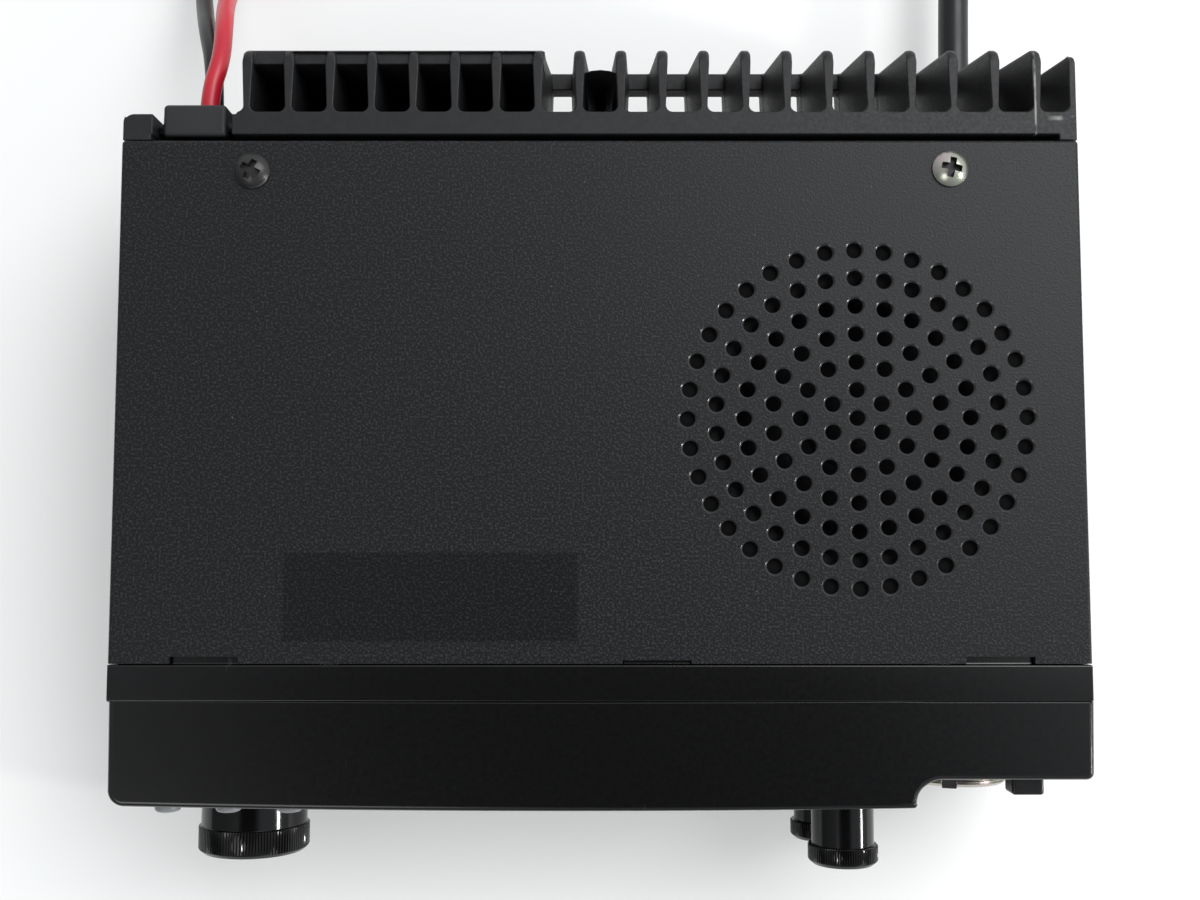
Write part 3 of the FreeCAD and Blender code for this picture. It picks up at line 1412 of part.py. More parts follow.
def make_screw(name, head, head_thick, shank, long):
    """Make a plain faceted pattern screw that points down, its head resting on the XY plane."""
    shank_piece = prism(name + "_shank", 8, "0", "0", "-(%s)" % long, shank, "%s + 0.1" % long)
    head_piece = prism(name + "_head", 12, "0", "0", "0", head, head_thick)
    return fuse(name, shank_piece, head_piece)


def make_screws():
    cover_screw = make_screw("cover_screw_pattern", "cover_head", "cover_head_thick", "cover_shank",
                             "cover_shank_long")
    black = [copy_of(cover_screw, "-cover_screw_x", "cover_screw_y", "casing_height")]
    for side, facing in (("-", FACING_LEFT), ("", FACING_RIGHT)):
        black.append(copy_of(cover_screw, side + "cover_width / 2", "cover_screw_y", "side_screw_z", facing))
    group("black_cover_screws", black)
    group("nickel_cover_screw", [copy_of(cover_screw, "cover_screw_x", "cover_screw_y", "casing_height")])
    sink_screw = make_screw("sink_screw_pattern", "sink_head", "sink_head_thick", "cover_shank",
                            "sink_plate + 4")
    group("sink_screws", [copy_of(sink_screw, x, "sink_rear", "sink_screw_height", FACING_REAR)
                          for x in sink_screw_places()])
    inner_screw = make_screw("inner_screw_pattern", "inner_head", "inner_head_thick", "inner_shank",
                             "inner_shank_long")
    inner = [copy_of(inner_screw, x, y, "upper_board_low + board_thick") for x, y in upper_posts()]
    inner += [copy_of(inner_screw, x, y, "lower_board_top - board_thick", FACING_DOWN)
              for x, y in lower_posts()]
    inner += [copy_of(inner_screw, x, "cover_front", z, FACING_REAR) for x, z in panel_boss_places()]
    inner += [copy_of(inner_screw, x, "web_front", z, FACING_FRONT) for x, z in frame_screw_places()]
    group("inner_screws", inner)


# Rear fittings

def make_power_grommet():
    """Make the moulded block that carries the power wires through the sink, with a lip before the plate."""
    main = block("grommet_block", "grommet_notch_x - grommet_width / 2", "sink_front",
                 "sink_top - grommet_notch_deep", "grommet_width", "sink_plate + grommet_reach", "grommet_tall")
    lip = block("grommet_lip", "grommet_notch_x - grommet_notch_width / 2 + 0.1", "sink_front + 1.2",
                "sink_top - grommet_notch_deep", "grommet_notch_width - 0.2", "grommet_lip", "grommet_tall - 1")
    fuse("power_grommet", main, lip)


def make_antenna_gland():
    gland = turned("antenna_gland", [
        ("0", "-6"), ("gland_hole / 2 - 0.1", "-6"), ("gland_hole / 2 - 0.1", "0"),
        ("gland_collar / 2", "0"), ("gland_collar / 2 - 0.3", "1"), ("coax / 2 + 0.8", "gland_reach"),
        ("0", "gland_reach"),
    ])
    turn(gland, *FACING_REAR)
    place(gland, "antenna_x", "sink_rear", "antenna_z")


def make_speaker_jack():
    jack = turned("speaker_jack", [
        ("jack_bore / 2", "jack_nut_thick"), ("jack_bore / 2", "jack_nut_thick - jack_long + 1"),
        ("0", "jack_nut_thick - jack_long + 1"), ("0", "jack_nut_thick - jack_long"),
        ("jack_nut / 2 + 0.4", "jack_nut_thick - jack_long"), ("jack_nut / 2 + 0.4", "-sink_plate"),
        ("jack_nut / 2 + 0.4", "0"), ("jack_nut / 2 + 1.2", "0"),
        ("jack_nut / 2 + 1.2", "jack_nut_thick * 0.7"), ("jack_bushing / 2", "jack_nut_thick"),
    ])
    turn(jack, *FACING_REAR)
    place(jack, "jack_x", "sink_rear", "jack_z")


# Free leads: points chosen by hand along each lead, in millimetres

RED_ROUTE = [
    (-59.4, 47.75, 32.6), (-59.4, 51.8, 32.6), (-58.7, 57.6, 31.4), (-59.0, 63.4, 28.3), (-60.1, 69.2, 22.9),
    (-61.2, 75.4, 15.6), (-62.2, 84.5, 8.6), (-62.6, 96.0, 4.6), (-60.6, 110.0, 3.9), (-52.0, 123.0, 4.3),
    (-37.0, 131.0, 4.5), (-22.0, 130.2, 4.5), (-10.0, 130.2, 4.5),
]
BLACK_ROUTE = [
    (-59.9, 47.75, 28.2), (-59.9, 52.7, 28.2), (-60.8, 58.9, 26.5), (-63.0, 64.9, 22.4), (-65.3, 70.8, 16.6),
    (-67.5, 78.0, 10.6), (-69.4, 88.0, 6.0), (-69.9, 101.0, 3.0), (-67.0, 117.0, 3.4), (-57.0, 131.0, 4.2),
    (-39.0, 139.2, 4.5), (-23.0, 138.0, 4.5), (-10.0, 138.0, 4.5),
]
COAX_ROUTE = [
    (59.9, 48.7, 10.0), (59.9, 62.0, 10.0), (60.8, 88.0, 9.0), (60.4, 122.0, 9.2), (53.0, 152.0, 9.5),
    (30.0, 172.0, 9.5), (4.0, 176.0, 9.5), (-14.0, 176.0, 9.5),
]
LEAD_SIDES = 10
PLUG_PLACE = (-10.0, 134.1, 4.5)
AERIAL_PLACE = (-14.0, 176.0, 9.5)


def lead_path(points):
    """Return a wire of straight runs joined by tangent arcs, and the radius of each arc."""
    nodes = [V(*point) for point in points]
    edges = []
    radii = []
    last = nodes[0]
    for before, here, after in zip(nodes, nodes[1:], nodes[2:]):
        inward = (here - before).normalize()
        outward = (after - here).normalize()
        turn_angle = inward.getAngle(outward)
        run = min((here - before).Length, (after - here).Length)
        cut_back = 0.45 * run
        radius = cut_back / math.tan(turn_angle / 2)
        start = here - inward * cut_back
        end = here + outward * cut_back
        bisector = (outward - inward).normalize()
        middle = here + bisector * (radius / math.cos(turn_angle / 2) - radius)
        edges.append(Part.LineSegment(last, start).toShape())
        edges.append(Part.Arc(start, middle, end).toShape())
        radii.append(radius)
        last = end
    edges.append(Part.LineSegment(last, nodes[-1]).toShape())
    return Part.Wire(edges), radii


def make_lead(label, points, width):
    """Make one lead as a tube with flat sides along its path, and print its length and bends."""
    path, radii = lead_path(points)
    first = V(*points[0])
    along = V(*points[1]) - first
    aside = along.cross(V(0, 0, 1)).normalize()
    upright = aside.cross(along).normalize()
    radius = size(width) / 2
    angles = [2 * math.pi * step / LEAD_SIDES for step in range(LEAD_SIDES)]
    corners = [first + aside * (radius * math.cos(angle)) + upright * (radius * math.sin(angle))
               for angle in angles]
    section = Part.makePolygon(corners + corners[:1])
    tube = path.makePipeShell([section], True, False)
    expected = Part.Face(section).Area * path.Length
    print(label, "length %.1f" % path.Length, "tightest bend %.1f" % min(radii),
          "volume ratio %.4f" % (tube.Volume / expected))
    print(label, "bends", " ".join("%.0f" % radius for radius in radii))
    item = doc.addObject("Part::Feature", "Lead_" + label)
    item.Shape = tube
    item.Label = label


def make_power_plug():
    """Make the flat two-pole connector that ends the power wires, opening towards plus X."""
    x, y, z = PLUG_PLACE
    case = middle_block("plug_case", "%s + plug_long / 2" % x, y, "%s - plug_tall / 2" % z,
                        "plug_long", "plug_width", "plug_tall")
    tools = []
    blades = []
    for side, wide, tall in ((-1, "plug_slot_long", "plug_slot_wide"),
                             (1, "plug_slot_wide", "plug_slot_long")):
        middle = "%s + %d * plug_width / 4" % (y, side)
        front = "%s + plug_long" % x
        tools.append(middle_block("plug_slot", "%s - plug_slot_deep / 2 + 0.5" % front, middle,
                                  "%s - %s / 2" % (z, tall), "plug_slot_deep + 1", wide, tall))
        blade_deep = "blade_wide" if side < 0 else "blade_thick"
        blade_tall = "blade_thick" if side < 0 else "blade_wide"
        blades.append(middle_block("plug_blade", "%s - plug_slot_deep + blade_long / 2" % front, middle,
                                   "%s - %s / 2" % (z, blade_tall), "blade_long", blade_deep, blade_tall))
    cut("power_plug", case, *tools)
    group("power_plug_contacts", blades)


def make_aerial_socket():
    """Make the round aerial socket that ends the coaxial lead, its mouth towards minus X."""
    shell = turned("aerial_socket_shell", [
        ("aerial_mouth / 2", "aerial_long"), ("aerial_mouth / 2", "aerial_long - aerial_thread_long - 4"),
        ("coax / 2", "aerial_long - aerial_thread_long - 4"), ("coax / 2", "0"),
        ("coax / 2 + 1.8", "0"), ("aerial_collar / 2 - 1", "aerial_long - aerial_thread_long - 5"),
        ("aerial_collar / 2", "aerial_long - aerial_thread_long - 4"),
        ("aerial_collar / 2", "aerial_long - aerial_thread_long"),
        ("aerial_shell / 2", "aerial_long - aerial_thread_long"), ("aerial_shell / 2", "aerial_long - 0.6"),
        ("aerial_shell / 2 - 0.6", "aerial_long"),
    ])
    core = turned("aerial_socket_core", [
        ("aerial_contact / 2", "aerial_long - aerial_mouth_deep"),
        ("aerial_contact / 2", "aerial_long - aerial_mouth_deep - aerial_contact_long + 1"),
        ("0", "aerial_long - aerial_mouth_deep - aerial_contact_long + 1"),
        ("0", "aerial_long - aerial_thread_long - 4"),
        ("aerial_mouth / 2", "aerial_long - aerial_thread_long - 4"),
        ("aerial_mouth / 2", "aerial_long - aerial_mouth_deep"),
    ])
    contact = turned("aerial_socket_contact", [
        ("aerial_contact_bore / 2", "aerial_long - aerial_mouth_deep"),
        ("aerial_contact_bore / 2", "aerial_long - aerial_mouth_deep - aerial_contact_long + 2"),
        ("0", "aerial_long - aerial_mouth_deep - aerial_contact_long + 2"),
        ("0", "aerial_long - aerial_mouth_deep - aerial_contact_long + 1"),
        ("aerial_contact / 2", "aerial_long - aerial_mouth_deep - aerial_contact_long + 1"),
        ("aerial_contact / 2", "aerial_long - aerial_mouth_deep"),
    ])
    x, y, z = AERIAL_PLACE
    for item in (shell, core, contact):
        turn(item, V(0, 1, 0), -90)
        place(item, x, y, z)


NODES = [
    "chassis_frame", "heat_sink", "top_cover", "bottom_cover", "front_frame", "front_panel", "display_window",
    "lcd_glass", "light_guide", "lcd_holder", "front_board", "key_switches", "main_knob", "dial_shaft",
    "dial_encoder", "dial_nut", "volume_knob", "volume_shaft", "volume_control", "squelch_knob",
    "squelch_shaft", "squelch_control", "round_button_left", "round_button_middle", "round_button_right",
    "function_key_1", "function_key_2", "function_key_3", "function_key_4", "function_key_5", "power_button",
    "power_switch", "mic_socket_shell", "mic_socket_insert", "mic_socket_pins", "mic_socket_nut",
    "speaker_basket", "speaker_cone", "speaker_magnet", "speaker_felt", "speaker_clips", "upper_board",
    "main_board", "shield_cans", "power_module", "black_cover_screws", "nickel_cover_screw", "sink_screws",
    "inner_screws", "power_grommet", "antenna_gland", "speaker_jack", "red_lead", "black_lead", "power_plug",
    "power_plug_contacts", "antenna_lead", "aerial_socket_shell", "aerial_socket_core",
    "aerial_socket_contact",
]


def check_and_write():
    """Stop on any failed object or bad shape, then write one file for each sub-part."""
    doc.recompute()
    for item in doc.Objects:
        if "Invalid" in item.State or "Error" in item.State:
            raise RuntimeError("%s (%s) failed: %s" % (item.Name, item.Label, item.State))
    for label in NODES:
        found = doc.getObjectsByLabel(label)
        if len(found) != 1:
            raise RuntimeError("%s is the label of %d objects" % (label, len(found)))
        shape = found[0].Shape
        if shape.isNull() or not shape.isValid() or not shape.Solids:
            raise RuntimeError("the shape of %s is empty or not valid" % label)
    for label in NODES:
        doc.getObjectsByLabel(label)[0].Shape.exportStep(os.path.join("parts", label + ".step"))


make_top_cover()
make_bottom_cover()
make_chassis()
make_heat_sink()
make_front_frame()
make_front_panel()
make_display()
make_front_board()
make_key_switches()
make_dial()
make_small_control("volume", "volume_z")
make_small_control("squelch", "squelch_z")
make_round_buttons()
make_function_keys()
make_power_button()
make_mic_socket()
make_speaker()
make_boards()
make_screws()
make_power_grommet()
make_antenna_gland()
make_speaker_jack()
make_lead("red_lead", RED_ROUTE, "power_wire")
make_lead("black_lead", BLACK_ROUTE, "power_wire")
make_lead("antenna_lead", COAX_ROUTE, "coax")
make_power_plug()
make_aerial_socket()
check_and_write()
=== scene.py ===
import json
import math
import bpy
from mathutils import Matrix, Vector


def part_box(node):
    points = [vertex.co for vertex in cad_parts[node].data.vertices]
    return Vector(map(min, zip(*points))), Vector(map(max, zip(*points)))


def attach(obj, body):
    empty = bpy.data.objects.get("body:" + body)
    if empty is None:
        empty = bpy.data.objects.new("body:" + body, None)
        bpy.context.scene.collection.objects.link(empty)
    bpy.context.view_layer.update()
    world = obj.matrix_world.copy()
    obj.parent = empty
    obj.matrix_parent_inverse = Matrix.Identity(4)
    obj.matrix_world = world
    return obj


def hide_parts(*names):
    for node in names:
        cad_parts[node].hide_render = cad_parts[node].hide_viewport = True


bl_info = {
    "name": "Mobile Radio Looks",
    "version": (1, 0, 0),
    "blender": (4, 5, 0),
    "location": "View3D > Sidebar > Radio",
    "description": "Builds the visible pieces of a compact two-way radio round its packed frame",
    "category": "Add Mesh",
}

import bmesh
import bpy
from mathutils import Matrix, Vector

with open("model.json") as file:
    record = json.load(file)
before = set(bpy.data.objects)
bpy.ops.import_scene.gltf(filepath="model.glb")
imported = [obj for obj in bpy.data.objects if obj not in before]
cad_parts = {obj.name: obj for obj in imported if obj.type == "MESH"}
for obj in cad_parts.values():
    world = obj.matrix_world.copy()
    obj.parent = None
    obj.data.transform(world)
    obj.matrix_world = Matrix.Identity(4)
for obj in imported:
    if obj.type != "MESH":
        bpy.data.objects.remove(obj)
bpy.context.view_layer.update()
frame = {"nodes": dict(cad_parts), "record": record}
MM = 0.001
CASING = "casing"

# Sizes and colours that a user may change

CASE_LOW, CASE_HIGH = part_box("top_cover")
CASE_TOP = CASE_HIGH[2]


def length_choice(name, description, millimetres):
    """Declare a length that a user may change."""
    return bpy.props.FloatProperty(
        name=name, description=description, default=millimetres * MM, unit="LENGTH")


def colour_choice(name, description, default):
    """Declare a colour that a user may change."""
    return bpy.props.FloatVectorProperty(
        name=name, description=description, subtype="COLOR", size=3, default=default)


class RadioSizes(bpy.types.PropertyGroup):
    """Sizes of the detail that the frame leaves plain."""
    edge_width: length_choice("Edge Width", "Width of the rounding along the power plug's edges", 0.25)
    grille_hole: length_choice("Grille Hole", "Width of each punched speaker hole", 2.18)
    grille_dish: length_choice("Grille Dish", "How far the pressed rim of a hole spreads", 0.34)
    fin_rounding: length_choice("Fin Rounding", "Rounding of the rear ends of the cooling fins", 0.62)
    tooth_depth: length_choice("Tooth Depth", "Depth of the grooves between teeth", 0.16)
    dial_teeth: bpy.props.IntProperty(
        name="Dial Teeth", description="Fine teeth round the large dial", default=115)
    small_teeth: bpy.props.IntProperty(
        name="Small Knob Teeth", description="Fine teeth round each small knob", default=87)


class RadioColours(bpy.types.PropertyGroup):
    """Main colours of the radio and of the table under it."""
    cover: colour_choice("Cover", "Textured paint of the sheet covers", (0.0064, 0.0066, 0.0072))
    casting: colour_choice("Casting", "Matte coating of the heat sink", (0.0105, 0.0106, 0.0114))
    moulding: colour_choice("Moulding", "Plastic of the front panel and its band", (0.0016, 0.0016, 0.0018))
    red_wire: colour_choice("Red Wire", "Insulation of the positive wire", (0.47, 0.008, 0.024))
    floor: colour_choice("Floor", "Pale table top", (0.82, 0.82, 0.81))


def sizes():
    return bpy.context.scene.radio_sizes


def colours():
    return bpy.context.scene.radio_colours


# Materials

SINK_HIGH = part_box("heat_sink")[1]

# The middle and the half size of each bright place on the heat sink, partly rubbed coating and partly a
# painted highlight
MOULD_LINE_WEAR_AND_HIGHLIGHT = ((63.98 * MM, 56.0 * MM, SINK_HIGH[2]), (0.13 * MM, 20.0 * MM))
RUBBED_END_WEAR_AND_HIGHLIGHT = ((69.4 * MM, 45.3 * MM, SINK_HIGH[2]), (2.6 * MM, 0.28 * MM))

PATCH_MIDDLE = (-24.2 * MM, -24.6 * MM)
PATCH_SIZE = (42.0 * MM, 12.6 * MM)
PATCH_FADE = 0.2 * MM


def start_material(name):
    """Make a material and return it with its node tree and main shader."""
    material = bpy.data.materials.new(name)
    material.use_nodes = True
    return material, material.node_tree, material.node_tree.nodes["Principled BSDF"]


def set_sockets(tree, node, values):
    """Set each named socket of a node, or link it where the value is an output of another node."""
    for name, value in values.items():
        if isinstance(value, bpy.types.NodeSocket):
            tree.links.new(value, node.inputs[name])
        else:
            node.inputs[name].default_value = value


def add_node(tree, kind, output, values, **settings):
    """Add a node with its settings and sockets and return one of its outputs."""
    node = tree.nodes.new(kind)
    for name, value in settings.items():
        setattr(node, name, value)
    set_sockets(tree, node, values)
    return node.outputs[output]


def surface_point(tree, stretch=(1.0, 1.0, 1.0), centre=(0.0, 0.0, 0.0)):
    """Return the Object coordinate, moved to a centre and stretched along an axis."""
    return add_node(tree, "ShaderNodeMapping", "Vector", {
        "Vector": add_node(tree, "ShaderNodeTexCoord", "Object", {}),
        "Scale": stretch,
        "Location": [-place * factor for place, factor in zip(centre, stretch)],
    })


def noise(tree, vector, scale, detail=3.0):
    return add_node(tree, "ShaderNodeTexNoise", "Fac", {"Vector": vector, "Scale": scale, "Detail": detail})


def spread(tree, value, low, high, to_low=0.0, to_high=1.0):
    """Map one range of a value to another, held at both ends."""
    return add_node(tree, "ShaderNodeMapRange", "Result", {
        "Value": value, "From Min": low, "From Max": high, "To Min": to_low, "To Max": to_high})


def times(tree, first, second, operation="MULTIPLY"):
    """Combine two values, each a socket or a number."""
    return add_node(tree, "ShaderNodeMath", "Value", {0: first, 1: second}, operation=operation)


def mix_colour(tree, factor, low, high):
    """Mix two colours, each a socket or three numbers, by a factor."""
    values = {"Factor": factor}
    for socket, colour in ((6, low), (7, high)):
        values[socket] = colour if isinstance(colour, bpy.types.NodeSocket) else (*colour, 1.0)
    return add_node(tree, "ShaderNodeMix", 2, values, data_type="RGBA")


def add_bump(tree, shader, height, strength, depth):
    relief = {"Height": height, "Strength": strength, "Distance": depth}
    set_sockets(tree, shader, {"Normal": add_node(tree, "ShaderNodeBump", "Normal", relief)})


def shade(colour, factor):
    return tuple(channel * factor for channel in colour)


def mottled_colour(tree, source, colour, darker, lighter, low=0.35, high=0.65):
    """Let a noise drift a colour between a darker and a lighter shade of itself."""
    return mix_colour(tree, spread(tree, source, low, high), shade(colour, darker), shade(colour, lighter))


def vary_gloss(tree, shader, source, low, high):
    """Let a noise drive the roughness between two values."""
    set_sockets(tree, shader, {"Roughness": spread(tree, source, 0.3, 0.7, low, high)})


def block_mask(tree, middle, sides, depth):
    """Return 1 in a block round a place and 0 far from it, faded between two distances along each axis."""
    split = tree.nodes.new("ShaderNodeSeparateXYZ")
    set_sockets(tree, split, {"Vector": surface_point(tree, centre=middle)})
    inside = spread(tree, split.outputs["Z"], *depth)
    for axis, (far, near) in zip("XY", sides):
        away = times(tree, split.outputs[axis], 0.0, "ABSOLUTE")
        inside = times(tree, inside, spread(tree, away, far, near))
    return inside


def worn_edges(tree):
    """Return how strongly a sharp outward edge is rubbed, broken up by noise."""
    edge = spread(tree, add_node(tree, "ShaderNodeNewGeometry", "Pointiness", {}), 0.53, 0.60)
    broken = spread(tree, noise(tree, surface_point(tree), 260.0, 5.0), 0.45, 0.62)
    return times(tree, edge, broken)


def make_look(name, colour, rough=0.5, metallic=0.0, mottle=70.0, mottled=0.12, grain=1100.0, relief=0.12,
              depth=0.05 * MM, stretch=(1.0, 1.0, 1.0), specular=0.5, worn=None):
    """Make a solid finish: mottled colour, uneven gloss, fine relief and, if given, a rubbed edge colour."""
    material, tree, shader = start_material(name)
    point = surface_point(tree, stretch)
    base = mottled_colour(tree, noise(tree, point, mottle, 5.0), colour, 1 - mottled, 1 + mottled)
    if worn:
        base = mix_colour(tree, worn_edges(tree), base, worn)
    set_sockets(tree, shader, {"Base Color": base, "Metallic": metallic, "Specular IOR Level": specular})
    vary_gloss(tree, shader, noise(tree, point, mottle * 2.3, 4.0), rough * 0.85, min(1.0, rough * 1.15))
    add_bump(tree, shader, noise(tree, point, grain, 2.0), relief, depth)
    return material


def make_cover_paint():
    """Fine textured charcoal paint with dust, and the smoother patch where a plate was once stuck."""
    material, tree, shader = start_material("textured_paint")
    colour = tuple(colours().cover)
    point = surface_point(tree)
    sides = [(size / 2 + PATCH_FADE, size / 2 - PATCH_FADE) for size in PATCH_SIZE]
    patch = block_mask(tree, (*PATCH_MIDDLE, CASE_TOP), sides, (-0.3 * MM, -0.1 * MM))
    base = mottled_colour(tree, noise(tree, point, 14.0), colour, 0.93, 1.07)
    grains = spread(tree, noise(tree, point, 3000.0, 1.0), 0.48, 0.70)
    base = mix_colour(tree, times(tree, grains, 0.8), base, shade(colour, 4.0))
    base = mix_colour(tree, times(tree, patch, 0.45), base, shade(colour, 0.35))
    dust = spread(tree, noise(tree, point, 1500.0, 1.0), 0.790, 0.815)
    base = mix_colour(tree, times(tree, dust, 0.6), base, (0.10, 0.10, 0.10))
    rough = times(tree, spread(tree, grains, 0.0, 1.0, 0.38, 0.50), times(tree, patch, -0.06), "ADD")
    relief = times(tree, grains, times(tree, times(tree, patch, -0.6), 1.0, "ADD"))
    add_bump(tree, shader, relief, 0.5, 0.030 * MM)
    set_sockets(tree, shader, {"Base Color": base, "Roughness": rough, "Specular IOR Level": 0.24})
    return material


def make_moulding(name, colour, rough, scuffs=True, specular=0.5):
    """Nearly black plastic of even gloss with fine specks and, if asked for, faint streaks of scratches."""
    material, tree, shader = start_material(name)
    point = surface_point(tree)
    base = mottled_colour(tree, noise(tree, point, 1900.0, 2.0), colour, 0.8, 1.3)
    if scuffs:
        thin = surface_point(tree, stretch=(3.0, 0.35, 1.0))
        marks = spread(tree, noise(tree, thin, 230.0, 6.0), 0.70, 0.74)
        where = spread(tree, noise(tree, point, 30.0, 2.0), 0.55, 0.68)
        base = mix_colour(tree, times(tree, marks, where), base, (0.055, 0.055, 0.055))
    set_sockets(tree, shader, {"Base Color": base, "Specular IOR Level": specular})
    vary_gloss(tree, shader, noise(tree, point, 1200.0, 3.0), rough * 0.92, rough * 1.08)
    add_bump(tree, shader, noise(tree, point, 700.0, 2.0), 0.06, 0.03 * MM)
    return material


def make_translucent(name, colour, through, rough=0.4, relief=0.08):
    """Milky or clear plastic that lets part of the light through."""
    material, tree, shader = start_material(name)
    point = surface_point(tree)
    base = mottled_colour(tree, noise(tree, point, 300.0), colour, 0.92, 1.0)
    set_sockets(tree, shader, {
        "Base Color": base, "Roughness": rough, "Transmission Weight": through, "IOR": 1.49})
    add_bump(tree, shader, noise(tree, point, 1500.0, 2.0), relief, 0.02 * MM)
    return material


def make_casting():
    """Matte black coating, lightened along one mould line and at the right end of the plate: partly rubbed
    coating, partly a painted highlight.
    """
    material = make_look("cast_coating", tuple(colours().casting), rough=0.50, mottle=900.0, mottled=0.16,
                         grain=2200.0, relief=0.35, depth=0.04 * MM, specular=0.32)
    tree = material.node_tree
    base = tree.nodes["Principled BSDF"].inputs["Base Color"]
    colour = base.links[0].from_socket
    broken = spread(tree, noise(tree, surface_point(tree), 420.0, 5.0), 0.40, 0.56)
    for middle, half in (MOULD_LINE_WEAR_AND_HIGHLIGHT, RUBBED_END_WEAR_AND_HIGHLIGHT):
        sides = [(reach * 1.5, reach * 0.6) for reach in half]
        # Each bright mark is partly wear and partly a painted highlight of the side lamp catching the edge
        rubbed = times(tree, block_mask(tree, middle, sides, (-1.2 * MM, -0.6 * MM)), broken)
        colour = mix_colour(tree, times(tree, rubbed, 0.75), colour, (0.34, 0.33, 0.31))
    tree.links.new(colour, base)
    return material


def make_nickel():
    """Bright nickel plate whose tarnish drifts from faint green to faint pink."""
    material, tree, shader = start_material("nickel_plate")
    point = surface_point(tree)
    drift = spread(tree, noise(tree, point, 240.0, 2.0), 0.42, 0.58)
    base = mix_colour(tree, drift, (0.43, 0.44, 0.37), (0.51, 0.44, 0.43))
    set_sockets(tree, shader, {"Base Color": base, "Metallic": 1.0})
    vary_gloss(tree, shader, noise(tree, point, 900.0, 3.0), 0.24, 0.32)
    add_bump(tree, shader, noise(tree, point, 1100.0, 2.0), 0.03, 0.04 * MM)
    return material


def make_nylon():
    """Natural nylon that lets a little light in under its surface."""
    material = make_look("natural_nylon", (0.66, 0.64, 0.58), rough=0.42, mottled=0.04, relief=0.06)
    shader = material.node_tree.nodes["Principled BSDF"]
    set_sockets(material.node_tree, shader, {"Subsurface Weight": 0.1, "Subsurface Scale": 0.002})
    return material


def make_looks():
    """Make every finish once and return it under the name of the record's slot."""
    moulding = tuple(colours().moulding)
    return {
        "sheet_black": make_cover_paint(),
        "cast_black": make_casting(),
        "cast_bare": make_look("bare_casting", (0.36, 0.36, 0.35), rough=0.45, metallic=1.0, mottled=0.15,
                               grain=900.0, relief=0.3),
        "moulded_black": make_moulding("satin_moulding", moulding, 0.20),
        "window": make_translucent("clear_window", (0.86, 0.88, 0.88), 0.92, 0.03, 0.004),
        "lcd": make_look("display_cell", (0.23, 0.27, 0.19), rough=0.12, mottled=0.05, relief=0.02),
        "guide": make_translucent("light_guide", (0.85, 0.85, 0.80), 0.35),
        "board": make_look("board_laminate", (0.02, 0.12, 0.045), rough=0.35, mottle=500.0, mottled=0.3),
        "knob_black": make_moulding("gloss_knob", (0.0020, 0.0020, 0.0023), 0.12, False, 0.30),
        "steel": make_look("zinc_steel", (0.55, 0.55, 0.52), rough=0.32, metallic=1.0,
                           stretch=(1.0, 6.0, 1.0)),
        "nickel": make_nickel(),
        # The recess finish is painted shade: its dark colour stands for the shade inside the screws' cross
        # recesses
        "recess": make_look("recess_painted_shade", (0.010, 0.010, 0.011), rough=0.6),
        "hole_rim": make_look("rubbed_rim", (0.010, 0.010, 0.011), rough=0.26),
        "brass": make_look("brass_contact", (0.72, 0.53, 0.22), rough=0.25, metallic=1.0),
        "control_case": make_look("metal_case", (0.22, 0.22, 0.23), rough=0.4, metallic=0.8),
        "button_grey": make_translucent("grey_button", (0.36, 0.37, 0.38), 0.25, 0.35),
        "key_black": make_moulding("satin_key", (0.004, 0.004, 0.0045), 0.30, False, 0.40),
        "insert_black": make_look("socket_insert", (0.012, 0.012, 0.012), rough=0.4),
        "cone": make_look("speaker_paper", (0.008, 0.008, 0.008), rough=0.85, mottle=400.0, grain=2500.0,
                          relief=0.5, specular=0.2),
        "magnet": make_look("ferrite", (0.05, 0.05, 0.052), rough=0.6, grain=600.0, relief=0.3),
        "felt": make_look("felt", (0.004, 0.004, 0.004), rough=0.95, grain=2600.0, relief=0.8,
                          specular=0.1),
        "module": make_look("moulded_module", (0.02, 0.02, 0.021), rough=0.45),
        "screw_black": make_look("black_zinc", (0.035, 0.034, 0.033), rough=0.34, metallic=0.6,
                                 worn=(0.30, 0.29, 0.27)),
        "rubber": make_look("rubber", (0.017, 0.017, 0.018), rough=0.55, grain=1500.0, relief=0.2,
                            specular=0.35),
        "wire_red": make_look("red_vinyl", tuple(colours().red_wire), rough=0.36, mottled=0.05, grain=600.0,
                              relief=0.05),
        "wire_black": make_look("black_vinyl", (0.006, 0.006, 0.007), rough=0.36, grain=600.0, relief=0.06,
                                specular=0.40),
        "plug_white": make_nylon(),
        "ptfe": make_look("white_dielectric", (0.78, 0.78, 0.75), rough=0.5, mottled=0.04),
    }


LOOKS = {}


# Modelling helpers

SAME_PLACE = 0.002 * MM
FLAT_WITHIN = math.radians(1.0)


def deselect():
    if bpy.context.object and bpy.context.object.mode != "OBJECT":
        bpy.ops.object.mode_set(mode="OBJECT")
    bpy.ops.object.select_all(action="DESELECT")


def choose(piece):
    deselect()
    piece.select_set(True)
    bpy.context.view_layer.objects.active = piece


def fix_place(piece):
    """Move a piece's own place, turn and scale into its mesh."""
    choose(piece)
    bpy.ops.object.transform_apply(location=True, rotation=True, scale=True)


def start_edit(piece, action="SELECT"):
    """Open a piece's mesh for editing with all or none of it selected."""
    choose(piece)
    bpy.ops.object.mode_set(mode="EDIT")
    bpy.ops.mesh.select_all(action=action)


def stop_edit():
    bpy.ops.object.mode_set(mode="OBJECT")


def pick_points(piece, chosen):
    """Open a piece's mesh with only those points selected that pass a test of their place."""
    start_edit(piece, "DESELECT")
    bpy.ops.mesh.select_mode(type="VERT")
    edit = bmesh.from_edit_mesh(piece.data)
    for vertex in edit.verts:
        vertex.select = chosen(vertex.co)
    edit.select_flush(True)
    bmesh.update_edit_mesh(piece.data)


